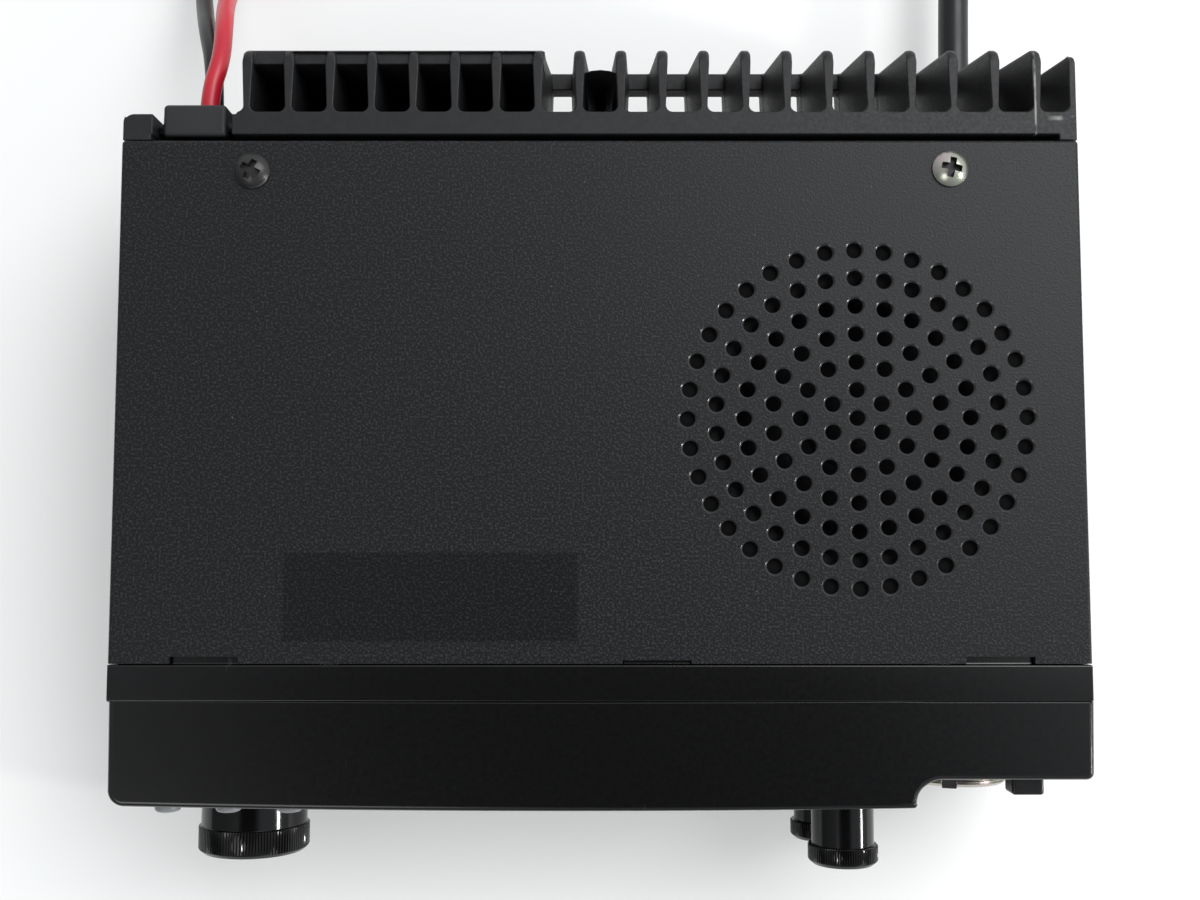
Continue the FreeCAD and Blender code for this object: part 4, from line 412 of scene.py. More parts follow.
def bevel_edges(piece, chosen, width, segments):
    """Round those edges of a piece that pass a test."""
    start_edit(piece, "DESELECT")
    bpy.ops.mesh.select_mode(type="EDGE")
    edit = bmesh.from_edit_mesh(piece.data)
    for edge in edit.edges:
        if chosen(edge):
            edge.select = True
    bmesh.update_edit_mesh(piece.data)
    bpy.ops.mesh.bevel(offset=width, segments=segments, profile=0.5, affect="EDGES")
    stop_edit()


def apply_modifier(piece, kind, **settings):
    choose(piece)
    bpy.ops.object.modifier_add(type=kind)
    modifier = piece.modifiers[-1]
    for name, value in settings.items():
        setattr(modifier, name, value)
    bpy.ops.object.modifier_apply(modifier=modifier.name)


def smooth(piece, angle=30.0, weighted=True):
    """Shade curved faces smooth and keep flat ones flat."""
    choose(piece)
    bpy.ops.object.shade_smooth_by_angle(angle=math.radians(angle))
    if weighted:
        apply_modifier(piece, "WEIGHTED_NORMAL", keep_sharp=True)


def round_edges(piece, width, segments=2, angle=35.0):
    apply_modifier(piece, "BEVEL", width=width, segments=segments, limit_method="ANGLE",
                   angle_limit=math.radians(angle), use_clamp_overlap=False, miter_outer="MITER_ARC")


def outward(piece):
    """Merge doubled points and turn every face outwards."""
    start_edit(piece)
    bpy.ops.mesh.remove_doubles(threshold=SAME_PLACE)
    bpy.ops.mesh.normals_make_consistent(inside=False)
    stop_edit()


def add_block(name, low, high):
    """Add a block between two corners."""
    deselect()
    middle = [(one + other) / 2 for one, other in zip(low, high)]
    bpy.ops.mesh.primitive_cube_add(size=1.0, location=middle)
    piece = bpy.context.object
    piece.name = name
    piece.scale = [abs(other - one) for one, other in zip(low, high)]
    fix_place(piece)
    return piece


def add_tube(name, radius, low, high, sides=32):
    """Add an upright round rod on the Z axis."""
    deselect()
    bpy.ops.mesh.primitive_cylinder_add(vertices=sides, radius=radius, depth=high - low,
                                        location=(0.0, 0.0, (low + high) / 2))
    piece = bpy.context.object
    piece.name = name
    fix_place(piece)
    return piece


def add_outline(name, places, fill="NOTHING"):
    """Add a closed line through some places, filled or not."""
    deselect()
    bpy.ops.mesh.primitive_circle_add(vertices=len(places), radius=1.0, fill_type=fill)
    piece = bpy.context.object
    piece.name = name
    for vertex, place in zip(piece.data.vertices, places):
        vertex.co = place
    return piece


def spun(name, profile, steps=64):
    """Spin a half outline of radius and height, in millimetres, round the Z axis."""
    piece = add_outline(name, [(radius * MM, 0.0, height * MM) for radius, height in profile])
    start_edit(piece)
    bpy.ops.mesh.spin(steps=steps, angle=2 * math.pi, center=(0.0, 0.0, 0.0), axis=(0.0, 0.0, 1.0))
    stop_edit()
    outward(piece)
    return piece


def thread_line(top, bottom, crest, root, pitch, drops):
    """Return a thread's outline from its top down, at the root again after each drop below a crest."""
    points = []
    while top > bottom:
        points += [(crest, top)] + [(root, top - drop) for drop in drops]
        top -= pitch
    return points


# How far an upright piece turns about X and about Y to face each way
FACINGS = {
    "up": (0.0, 0.0),
    "front": (math.pi / 2, 0.0),
    "rear": (-math.pi / 2, 0.0),
    "left": (0.0, -math.pi / 2),
    "right": (0.0, math.pi / 2),
}


def set_down(piece, place, facing="up", twist=0.0):
    """Turn a piece about its own axis, face it and put it in its place."""
    about_x, about_y = FACINGS[facing]
    piece.matrix_world = (Matrix.Translation(place) @ Matrix.Rotation(about_x, 4, "X")
                          @ Matrix.Rotation(about_y, 4, "Y") @ Matrix.Rotation(twist, 4, "Z"))
    fix_place(piece)


def another(piece, place, facing="up", twist=0.0):
    """Copy a piece with its own mesh and put the copy in its place."""
    copy = bpy.data.objects.new(piece.name + "_copy", piece.data.copy())
    bpy.context.collection.objects.link(copy)
    set_down(copy, place, facing, twist)
    return copy


def join(name, pieces):
    deselect()
    for piece in pieces:
        piece.select_set(True)
    bpy.context.view_layer.objects.active = pieces[0]
    bpy.ops.object.join()
    pieces[0].name = name
    return pieces[0]


def carve(piece, cutter):
    """Cut one solid out of another and take the cutter away."""
    apply_modifier(piece, "BOOLEAN", operation="DIFFERENCE", object=cutter, solver="EXACT")
    bpy.data.objects.remove(cutter)


def fine_copy(node, width=None, segments=2, angle=35.0):
    """Copy a CAD node, merge its faces and round its sharp edges a little."""
    mesh = frame["nodes"][node].data.copy()
    mesh.materials.clear()
    piece = bpy.data.objects.new(node + "_fine", mesh)
    bpy.context.collection.objects.link(piece)
    start_edit(piece)
    bpy.ops.mesh.remove_doubles(threshold=SAME_PLACE)
    bpy.ops.mesh.dissolve_limited(angle_limit=FLAT_WITHIN)
    stop_edit()
    if width:
        round_edges(piece, width, segments, angle)
    smooth(piece)
    return piece


def finish(piece, slot, *nodes, body=CASING, inner=None):
    """Give a piece its finish, its body and the CAD nodes it stands for."""
    marked = []
    if inner:
        marked = [face.index for face in piece.data.polygons if face.material_index == 1]
    piece.data.materials.clear()
    piece.data.materials.append(LOOKS[slot])
    if inner:
        piece.data.materials.append(LOOKS[inner])
        for index in marked:
            piece.data.polygons[index].material_index = 1
    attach(piece, body)
    if nodes:
        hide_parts(*nodes)


def soften(node, slot, width, segments=2, body=CASING):
    """Add a CAD node's fine copy in its finish and on its body."""
    piece = fine_copy(node, width, segments)
    finish(piece, slot, node, body=body)
    return piece


def middle_of(node):
    low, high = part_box(node)
    return tuple((one + other) / 2 for one, other in zip(low, high))


# Stage, camera and light

TABLE_WIDTH = 4.0
CAMERA_PLACE = (0.0, -18.26 * MM, 230.73 * MM)
CAMERA_TILT = (4.39, 0.0, 0.0)
PHOTO_WIDTH = 1200
FOCAL_PIXELS = 1332.0
SENSOR = 36.0
CLIP_START = 0.01

# Name, place, width in metres, power in watts and colour of each lamp
LAMPS = (
    ("window_light", (0.50, 0.45, 0.90), 0.7, 7.8, (0.98, 0.99, 1.0)),
    ("side_light", (0.88, -0.26, 0.44), 0.08, 2.6, (1.0, 1.0, 1.0)),
    ("room_light", (-0.36, -0.52, 0.80), 0.4, 1.4, (1.0, 1.0, 1.0)),
)


def add_camera():
    deselect()
    bpy.ops.object.camera_add(location=CAMERA_PLACE, rotation=[math.radians(angle) for angle in CAMERA_TILT])
    camera = bpy.context.object
    camera.name = "photo_camera"
    camera.data.sensor_width = SENSOR
    camera.data.sensor_fit = "HORIZONTAL"
    camera.data.lens = FOCAL_PIXELS / PHOTO_WIDTH * SENSOR
    camera.data.clip_start = CLIP_START
    bpy.context.scene.camera = camera


def add_lamp(name, place, size, power, colour):
    """Add a square soft lamp aimed at the middle of the table."""
    deselect()
    turn = (-Vector(place)).to_track_quat("-Z", "Y").to_euler()
    bpy.ops.object.light_add(type="AREA", location=place, rotation=turn)
    lamp = bpy.context.object
    lamp.name = name
    lamp.data.shape = "SQUARE"
    lamp.data.size = size
    lamp.data.energy = power
    lamp.data.color = colour


FLOOR_LIFT = 0.12
DARK_OVERHEAD = (0.0, -0.18, 0.98)
WINDOW_SIDE = (0.62, 0.68, 0.40)
SKY_COLOUR = (0.94, 0.97, 1.0, 1.0)


def facing(tree, direction):
    """Return how nearly the sky at a point lies in a direction."""
    sky = add_node(tree, "ShaderNodeTexCoord", "Generated", {})
    both = {0: sky, 1: Vector(direction).normalized()}
    return add_node(tree, "ShaderNodeVectorMath", "Value", both, operation="DOT_PRODUCT")


def make_world():
    """Soft room light, brighter on the window's side and darker straight overhead."""
    world = bpy.data.worlds.new("studio")
    bpy.context.scene.world = world
    world.use_nodes = True
    tree = world.node_tree
    sides = spread(tree, facing(tree, WINDOW_SIDE), -0.9, 0.9, 0.18, 0.98)
    overhead = spread(tree, facing(tree, DARK_OVERHEAD), 0.90, 0.975, 1.0, 0.10)
    strength = times(tree, sides, overhead)
    set_sockets(tree, tree.nodes["Background"], {"Color": SKY_COLOUR, "Strength": strength})


def make_floor_material():
    """Pale table top; the camera, gloss and glass see it a little brighter than it lights the object."""
    material, tree, shader = start_material("pale_table")
    point = surface_point(tree)
    colour = tuple(colours().floor)
    base = mottled_colour(tree, noise(tree, point, 3.0, 2.0), colour, 0.985, 1.01, 0.3, 0.7)
    path = tree.nodes.new("ShaderNodeLightPath")
    seen = times(tree, path.outputs["Is Camera Ray"], path.outputs["Is Glossy Ray"], "MAXIMUM")
    seen = times(tree, seen, path.outputs["Is Transmission Ray"], "MAXIMUM")
    set_sockets(tree, shader, {
        "Base Color": base, "Roughness": 0.6, "Emission Color": (1.0, 1.0, 0.99, 1.0),
        "Emission Strength": times(tree, seen, FLOOR_LIFT)})
    add_bump(tree, shader, noise(tree, point, 400.0, 2.0), 0.03, 0.05 * MM)
    return material


class RADIO_OT_add_stage(bpy.types.Operator):
    """Add the table, the soft light and the camera"""
    bl_idname = "radio.add_stage"
    bl_label = "Table, Light and Camera"

    def execute(self, context):
        deselect()
        bpy.ops.mesh.primitive_plane_add(size=TABLE_WIDTH, location=(0.0, 0.0, 0.0))
        floor = context.object
        floor.name = "table_top"
        floor.data.materials.append(make_floor_material())
        make_world()
        for lamp in LAMPS:
            add_lamp(*lamp)
        add_camera()
        context.scene.view_settings.view_transform = "Standard"
        return {"FINISHED"}


# Leads. The route points, in millimetres, are those of the frame's leads, but the second to the fourth of
# the red wire's are up to 0.8 mm aside

RED_ROUTE = [
    (-59.4, 47.75, 32.6), (-59.3, 51.8, 32.6), (-58.1, 57.2, 31.4), (-58.7, 63.4, 28.3), (-60.1, 69.2, 22.9),
    (-61.2, 75.4, 15.6), (-62.2, 84.5, 8.6), (-62.6, 96.0, 4.6), (-60.6, 110.0, 3.9), (-52.0, 123.0, 4.3),
    (-37.0, 131.0, 4.5), (-22.0, 130.2, 4.5), (-10.0, 130.2, 4.5),
]
BLACK_ROUTE = [
    (-59.9, 47.75, 28.2), (-59.9, 52.7, 28.2), (-60.8, 58.9, 26.5), (-63.0, 64.9, 22.4), (-65.3, 70.8, 16.6),
    (-67.5, 78.0, 10.6), (-69.4, 88.0, 6.0), (-69.9, 101.0, 3.0), (-67.0, 117.0, 3.4), (-57.0, 131.0, 4.2),
    (-39.0, 139.2, 4.5), (-23.0, 138.0, 4.5), (-10.0, 138.0, 4.5),
]
COAX_ROUTE = [
    (59.9, 48.7, 10.0), (59.9, 62.0, 10.0), (60.8, 88.0, 9.0), (60.4, 122.0, 9.2), (53.0, 152.0, 9.5),
    (30.0, 172.0, 9.5), (4.0, 176.0, 9.5), (-14.0, 176.0, 9.5),
]
LEADS = [
    ("red_lead", "red_wire", RED_ROUTE, 2.8, 130.5, "wire_red"),
    ("black_lead", "black_wire", BLACK_ROUTE, 2.8, 142.9, "wire_black"),
    ("antenna_lead", "coaxial_lead", COAX_ROUTE, 5.0, 177.4, "wire_black"),
]


def add_cord(name, route, width, slot):
    """Make one lead as a smooth curve along its route."""
    curve = bpy.data.curves.new(name, "CURVE")
    curve.dimensions = "3D"
    curve.bevel_depth = width / 2 * MM
    curve.bevel_resolution = 6
    curve.resolution_u = 14
    curve.use_fill_caps = True
    line = curve.splines.new("NURBS")
    line.points.add(len(route) - 1)
    for point, place in zip(line.points, route):
        point.co = (place[0] * MM, place[1] * MM, place[2] * MM, 1.0)
    line.order_u = 3
    line.use_endpoint_u = True
    piece = bpy.data.objects.new(name, curve)
    bpy.context.collection.objects.link(piece)
    finish(piece, slot)
    return piece


def make_aerial_shell():
    """Make the round aerial socket: threaded barrel, collar and crimped neck."""
    low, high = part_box("aerial_socket_shell")
    reach = (high[0] - low[0]) / MM
    thread = thread_line(reach - 1.2, reach - 15.0, 7.9, 7.55, 0.9, (0.35,))
    shell = spun("aerial_shell", [(7.3, reach), (7.9, reach - 0.6)] + thread + [
        (7.45, 12.4), (7.45, 12.0), (9.1, 12.0), (9.5, 11.6), (9.5, 8.4), (9.1, 8.0), (8.5, 7.0),
        (7.2, 5.2), (5.6, 3.2), (4.6, 1.4), (4.3, 0.2), (4.0, 0.0), (2.5, 0.0), (2.5, 8.0), (6.4, 8.0),
        (6.4, reach - 0.4), (6.8, reach),
    ], 72)
    smooth(shell, 28)
    set_down(shell, (high[0], *middle_of("aerial_socket_shell")[1:]), "left")
    finish(shell, "nickel", "aerial_socket_shell")
    return shell


class RADIO_OT_add_leads(bpy.types.Operator):
    """Add the red, black and coaxial leads with what is on their ends"""
    bl_idname = "radio.add_leads"
    bl_label = "Leads"

    def execute(self, context):
        plug = soften("power_plug", "plug_white", sizes().edge_width)
        shell = make_aerial_shell()
        for node, name, route, width, length, slot in LEADS:
            piece = add_cord(name, route, width, slot)
            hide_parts(node)
        return {"FINISHED"}


# Sheet covers

GRILLE_RINGS = 6
GRILLE_CENTRE = (middle_of("speaker_felt")[0] - 0.11 * MM, middle_of("speaker_felt")[1])
GRILLE_TURN = math.radians(90.3)
GRILLE_PITCH = 4.08 * MM
NOTCHES = ((-56.3, 1.0), (8.1, 0.5), (56.9, 1.0))
NOTCH_WIDTH = 9.8
COVER_FOLD = 0.6 * MM
SHEET_THICK = 1.0 * MM
SCREW_HOLE = 1.7 * MM
NICKEL_SCREW = middle_of("nickel_cover_screw")

# A face of a hole's pressed rim lies this near the top and slopes between these two upward parts
RIM_DEEP = 0.4 * MM
RIM_FLATTEST = 0.99
RIM_STEEPEST = 0.25


def grille_places():
    """Return the middle and the places of rings that each hold six more than the last."""
    places = [GRILLE_CENTRE]
    for ring in range(1, GRILLE_RINGS + 1):
        for step in range(6 * ring):
            angle = GRILLE_TURN + 2 * math.pi * step / (6 * ring)
            places.append((GRILLE_CENTRE[0] + ring * GRILLE_PITCH * math.cos(angle),
                           GRILLE_CENTRE[1] + ring * GRILLE_PITCH * math.sin(angle)))
    return places


def make_lid():
    """Fold the top sheet from one block: open at the front and underneath, rounded along its folds."""
    lid = add_block("top_cover_sheet", CASE_LOW, CASE_HIGH)
    mesh = bmesh.new()
    mesh.from_mesh(lid.data)
    for face in list(mesh.faces):
        middle = face.calc_center_median()
        if min(abs(middle.z - CASE_LOW[2]), abs(middle.y - CASE_LOW[1])) < SAME_PLACE:
            mesh.faces.remove(face)
    mesh.to_mesh(lid.data)
    mesh.free()
    bevel_edges(lid, lambda edge: len(edge.link_faces) == 2, COVER_FOLD, 7)
    outward(lid)
    apply_modifier(lid, "SOLIDIFY", thickness=SHEET_THICK, offset=-1.0, use_even_offset=True)
    outward(lid)
    return lid


def notch_cutters():
    """Add one block for each notch in the lid's front edge."""
    cutters = []
    for x, deep in NOTCHES:
        left, front = (x - NOTCH_WIDTH / 2) * MM, CASE_LOW[1]
        cutters.append(add_block("notch", (left, front - 10 * MM, CASE_TOP - 2 * MM),
                                 (left + NOTCH_WIDTH * MM, front + deep * MM, CASE_TOP + 2 * MM)))
    return cutters


def grille_cutters():
    """Make one plug with a spreading rim and put a copy where each speaker hole goes."""
    radius, dish = sizes().grille_hole / 2 / MM, sizes().grille_dish / MM
    hole = spun("grille_hole", [
        (0.0, -2.0), (radius, -2.0), (radius, -0.34), (radius + dish * 0.12, -0.20),
        (radius + dish * 0.40, -0.11), (radius + dish, 0.01), (radius + dish, 0.6), (0.0, 0.6),
    ], 20)
    cutters = [another(hole, (x, y, CASE_TOP)) for x, y in grille_places()]
    bpy.data.objects.remove(hole)
    return cutters


def screw_cutters():
    """Add one rod where each of the lid's two top screws goes."""
    cutters = []
    for side in (-1, 1):
        well = add_tube("screw_hole", SCREW_HOLE, -3 * MM, 2 * MM)
        set_down(well, (side * NICKEL_SCREW[0], NICKEL_SCREW[1], CASE_TOP))
        cutters.append(well)
    return cutters


def mark_rims(cover):
    """Give the faces of the holes' pressed rims the second finish."""
    reach = (GRILLE_RINGS + 1) * GRILLE_PITCH
    for face in cover.data.polygons:
        away = math.hypot(face.center.x - GRILLE_CENTRE[0], face.center.y - GRILLE_CENTRE[1])
        sloping = RIM_STEEPEST < face.normal.z < RIM_FLATTEST
        if away < reach and sloping and face.center.z > CASE_TOP - RIM_DEEP:
            face.material_index = 1


class RADIO_OT_add_covers(bpy.types.Operator):
    """Add the top cover with its speaker grille, and the bottom cover"""
    bl_idname = "radio.add_covers"
    bl_label = "Covers"

    def execute(self, context):
        cover = make_lid()
        carve(cover, join("cover_cutter", grille_cutters() + screw_cutters() + notch_cutters()))
        smooth(cover, 24)
        mark_rims(cover)
        finish(cover, "sheet_black", "top_cover", inner="hole_rim")
        soften("bottom_cover", "sheet_black", 0.15 * MM)
        return {"FINISHED"}


# Castings

FIN_END = SINK_HIGH[1] - 4.5 * MM
FIN_TOP_END = SINK_HIGH[1] - 3.3 * MM
FIN_LOW = SINK_HIGH[2] - 21.5 * MM
BAR_TALL = 3.4 * MM
SPLIT_HEIGHTS = (FIN_LOW + BAR_TALL + 0.5 * MM, SINK_HIGH[2] - 1.6 * MM)

# In millimetres, with the lowered rib's place counted in fins from the first one
FIRST_FIN = -51.95
FIN_PITCH = 6.115
FIN_REACH = 1.6
TIP_SWELL = 0.30
TIP_ROUND = 2.8
TIP_BACK = 0.67
LUG_REACH = 9.0
LUG_DRAWN = 0.35
RIB_FIN = 8.5
RIB_LOWERED = 7.0

# Lower and upper level on the last fin, and how far its rear end is drawn forwards there, in millimetres
LAST_FIN = ((0.0, 12.0, 1.5), (12.0, 30.0, 0.9))


def split_level(piece, height):
    """Draw an edge round a piece at one height, so that no face is shaped like a comb."""
    start_edit(piece)
    bpy.ops.mesh.bisect(plane_co=(0.0, 0.0, height), plane_no=(0.0, 0.0, 1.0))
    stop_edit()


def round_fin_ends(piece, width):
    """Round the two tall edges at the rear end of every fin."""
    def at_tip(edge):
        one, other = (vertex.co for vertex in edge.verts)
        upright = abs(one.z - other.z) > 0.3 * MM and abs(one.x - other.x) < 1 * MM
        above_bar = min(one.z, other.z) > FIN_LOW + BAR_TALL + 0.4 * MM
        return upright and above_bar and min(one.y, other.y) > FIN_END
    bevel_edges(piece, at_tip, width, 4)


def shape_fin_tips(piece):
    """Swell the fins' rear ends, draw the left end of the plate in and lower the rib behind the web."""
    first, pitch = FIRST_FIN * MM, FIN_PITCH * MM
    for vertex in piece.data.vertices:
        place = vertex.co
        fin = round((place.x - first) / pitch)
        aside = place.x - first - fin * pitch
        if place.y > FIN_END and abs(aside) < FIN_REACH * MM and place.x < SINK_HIGH[0] - 2.0 * MM:
            place.x += math.copysign(TIP_SWELL * MM, aside)
        if place.x < first - 1.4 * MM and place.y > FIN_END - LUG_REACH * MM:
            place.y -= LUG_DRAWN * MM
        on_rib = abs(place.x - first - RIB_FIN * pitch) < 1.0 * MM and place.y < FIN_END - 1.9 * MM
        if on_rib and SINK_HIGH[2] - 4.0 * MM < place.z:
            place.z -= RIB_LOWERED * MM


def round_fin_tops(piece):
    """Cut the top corner of every fin's rear end to a round shape."""
    radius = TIP_ROUND
    points = [(-TIP_BACK * radius + radius * math.cos(math.radians(angle)),
               -radius + radius * math.sin(math.radians(angle))) for angle in range(0, 91, 15)]
    # Past the arc the cutter reaches over all that is taken away
    points += [(-TIP_BACK * radius, 4.0), (5.0, 4.0), (5.0, -radius)]
    left = FIRST_FIN * MM - 3 * MM
    cutter = add_outline("tip_cutter", [(left, FIN_TOP_END + along * MM, SINK_HIGH[2] + up * MM)
                                        for along, up in points], "NGON")
    start_edit(cutter)
    bpy.ops.mesh.extrude_region_move(TRANSFORM_OT_translate={"value": (130 * MM, 0.0, 0.0)})
    stop_edit()
    outward(cutter)
    carve(piece, cutter)


def shorten_end_fin(piece):
    """Draw the last fin's rear end forwards, more at its foot than at its top."""
    for low, high, back in LAST_FIN:
        def at_end(point):
            level = (point.z - FIN_LOW) / MM
            return point.x > SINK_HIGH[0] - 1.6 * MM and point.y > FIN_END and low - 1 < level < high
        pick_points(piece, at_end)
        bpy.ops.transform.translate(value=(0.0, -back * MM, 0.0))
        stop_edit()


class RADIO_OT_add_castings(bpy.types.Operator):
    """Add the finned heat sink and the cast frame with softened edges"""
    bl_idname = "radio.add_castings"
    bl_label = "Castings"

    def execute(self, context):
        sink = fine_copy("heat_sink")
        shape_fin_tips(sink)
        shorten_end_fin(sink)
        for height in SPLIT_HEIGHTS:
            split_level(sink, height)
        round_fin_ends(sink, sizes().fin_rounding)
        round_fin_tops(sink)
        round_edges(sink, 0.16 * MM, 2, 40.0)
        smooth(sink, 32)
        finish(sink, "cast_black", "heat_sink")
        soften("chassis_frame", "cast_black", 0.15 * MM)
        return {"FINISHED"}


# Front panel, band, display and keys

PANEL_LOW, PANEL_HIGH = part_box("front_panel")
BOW_MIDDLE = -6.0
BOW_REACH = 0.20
BOW_FALL = 0.000173
BOW_STOP = 1.4
BOW_FADE = 1.2
BOW_CUTS = range(-60, 70, 6)
STEP_X = 44.75
STEP_DEEP = 4.15
STEP_CURVE = 2.4
STEP_GROWN = 3.7
STEP_CORNER = 0.40
OLD_CORNER = 1.0
CORNER_INSIDE = 0.2
FLARE_LEFT = (-0.15, 0.35)
FLARE_RIGHT = (0.28, 0.70)
FLARE_REACH = 4 * MM


def reshape_step(panel):
    """Widen the curve of the stepped-back end and sharpen the corner in front of it."""
    front, face = PANEL_LOW[1] / MM, PANEL_LOW[1] / MM + STEP_DEEP
    for vertex in panel.data.vertices:
        across, along = vertex.co.x / MM, vertex.co.y / MM
        away = math.hypot(across - STEP_X - STEP_CURVE, along - face + STEP_CURVE)
        in_curve = across < STEP_X + STEP_CURVE + 0.01 and along > face - STEP_CURVE - 0.01
        if in_curve and STEP_CURVE - 0.05 < away < STEP_CURVE + 1.1:
            # The inner curve, from its old radius to the wider one
            grown = (away + STEP_GROWN - STEP_CURVE) / away
            across = STEP_X + STEP_GROWN + (across - STEP_X - STEP_CURVE) * grown
            along = face - STEP_GROWN + (along - face + STEP_CURVE) * grown
            vertex.co.x, vertex.co.y = across * MM, along * MM
            continue
        # The outer corner, from its old radius to the sharper one
        side, depth = across - STEP_X + OLD_CORNER, along - front - OLD_CORNER
        away = math.hypot(side, depth)
        if CORNER_INSIDE - 0.05 < away < OLD_CORNER + 0.02 and side > -0.001 and depth < 0.001:
            share = (away - CORNER_INSIDE) / (OLD_CORNER - CORNER_INSIDE)
            new_side = OLD_CORNER - STEP_CORNER + STEP_CORNER * side / away
            new_depth = STEP_CORNER - OLD_CORNER + STEP_CORNER * depth / away
            vertex.co.x += share * (new_side - side) * MM
            vertex.co.y += share * (new_depth - depth) * MM


def bow_panel(panel):
    """Bow the front face a little and let the two sides widen towards the band."""
    for x in BOW_CUTS:
        start_edit(panel)
        bpy.ops.mesh.bisect(plane_co=(x * MM, 0.0, 0.0), plane_no=(1.0, 0.0, 0.0))
        stop_edit()
    deep = PANEL_HIGH[1] - PANEL_LOW[1]
    for vertex in panel.data.vertices:
        place = vertex.co
        forward = min(1.0, max(0.0, (PANEL_HIGH[1] - place.y) / deep))
        bow = BOW_REACH - BOW_FALL * (place.x / MM - BOW_MIDDLE) ** 2
        bow *= min(1.0, max(0.0, (STEP_X + BOW_STOP - place.x / MM) / BOW_FADE))
        flare = FLARE_LEFT if place.x < 0 else FLARE_RIGHT
        side = min(1.0, max(0.0, (abs(place.x) - (PANEL_HIGH[0] - FLARE_REACH)) / FLARE_REACH))
        place.y -= bow * min(1.0, forward * 2.0) * MM
        place.x += math.copysign(side * (flare[0] * forward + flare[1] * (1 - forward)) * MM, place.x)


class RADIO_OT_add_front(bpy.types.Operator):
    """Add the moulded panel, the band behind it, the window and the keys"""
    bl_idname = "radio.add_front"
    bl_label = "Front Panel"

    def execute(self, context):
        panel = fine_copy("front_panel")
        reshape_step(panel)
        bow_panel(panel)
        round_edges(panel, 0.12 * MM, 2)
        smooth(panel)
        finish(panel, "moulded_black", "front_panel")
        soften("front_frame", "moulded_black", 0.25 * MM)
        soften("display_window", "window", 0.15 * MM)
        for number in range(1, 6):
            soften("function_key_%d" % number, "key_black", 0.2 * MM, 3, "key_%d" % number)
        soften("power_button", "key_black", 0.3 * MM, 3, "power")
        return {"FINISHED"}


BUTTON_BODIES = {
    "round_button_left": "button_left",
    "round_button_middle": "button_middle",
    "round_button_right": "button_right",
}


class RADIO_OT_add_buttons(bpy.types.Operator):
    """Add the three round translucent buttons"""
    bl_idname = "radio.add_buttons"
    bl_label = "Round Buttons"

    def execute(self, context):
        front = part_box("front_panel")[0][1]
        low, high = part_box("round_button_left")
        reach = (front - low[1]) / MM
        back = (high[1] - front) / MM
        flange = (high[0] - low[0]) / 2 / MM
        for node, body in BUTTON_BODIES.items():
            middle = middle_of(node)
            button = spun(node + "_cap", [
                (0.0, -back), (1.3, -back), (1.5, -back + 0.2), (1.5, -3.1), (flange, -3.1), (flange, -2.3),
                (1.85, -2.3), (1.85, reach - 0.62), (1.77, reach - 0.35), (1.55, reach - 0.14),
                (1.15, reach - 0.03), (0.6, reach), (0.0, reach),
            ], 48)
            smooth(button, 40)
            set_down(button, (middle[0], front, middle[2]), "front")
            finish(button, "button_grey", node, body=body)
        return {"FINISHED"}


# Dial and knobs

def cut_teeth(piece, radius, low, high, teeth, per_tooth, depth):
    """Draw every nth line of a round collar inwards, so that fine upright grooves are left."""
    def in_groove(point):
        reach = math.hypot(point.x, point.y)
        step = round(math.atan2(point.y, point.x) / (2 * math.pi) * teeth * per_tooth)
        return reach > radius - 0.01 * MM and low < point.z < high and step % per_tooth == 0
    pick_points(piece, in_groove)
    factor = 1 - depth / radius
    bpy.ops.transform.resize(value=(factor, factor, 1.0), center_override=(0.0, 0.0, 0.0))
    stop_edit()


def make_knob(name, node, body, teeth, millimetres):
    """Make a knob with a glossy barrel behind and a finely grooved collar in front."""
    barrel, collar, collar_thick, cavity, cavity_deep, shaft = millimetres
    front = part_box("front_panel")[0][1]
    low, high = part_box(node)
    reach = (front - low[1]) / MM
    start = (front - high[1]) / MM
    step = reach - collar_thick
    profile = [
        (0.0, reach - 1.5), (shaft, reach - 1.5), (shaft, cavity_deep + start), (cavity, cavity_deep + start),
        (cavity, start), (barrel - 0.15, start), (barrel, start + 0.15), (barrel, step - 0.1),
        (barrel + 0.05, step - 0.02), (collar - 0.15, step), (collar, step + 0.15), (collar, reach - 0.65),
        (collar - 0.12, reach - 0.45), (collar - 0.60, reach), (collar - 1.3, reach),
        (collar - 1.45, reach - 0.18), (0.0, reach - 0.18),
    ]
    knob = spun(name, profile, teeth * 3)
    cut_teeth(knob, collar * MM, (step + 0.1) * MM, (reach - 0.6) * MM, teeth, 3, sizes().tooth_depth)
    smooth(knob, 32)
    middle = middle_of(node)
    set_down(knob, (middle[0], front, middle[2]), "front")
    finish(knob, "knob_black", node, body=body)


# Radii of barrel and collar, the collar's thickness, radius and depth of the cavity and radius of the shaft
DIAL_SIZES = (8.0, 8.37, 4.0, 6.7, 3.6, 3.0)
SMALL_SIZES = (4.575, 5.14, 2.8, 3.2, 2.2, 2.0)


class RADIO_OT_add_knobs(bpy.types.Operator):
    """Add the large dial and the two small knobs"""
    bl_idname = "radio.add_knobs"
    bl_label = "Dial and Knobs"

    def execute(self, context):
        make_knob("dial_knob", "main_knob", "dial", sizes().dial_teeth, DIAL_SIZES)
        for word in ("volume", "squelch"):
            make_knob(word + "_cap", word + "_knob", word, sizes().small_teeth, SMALL_SIZES)
        return {"FINISHED"}


# Microphone socket

KEY_TURN = 20.0
INSERT_TURN = 4.0
SOCKET_STEPS = 96


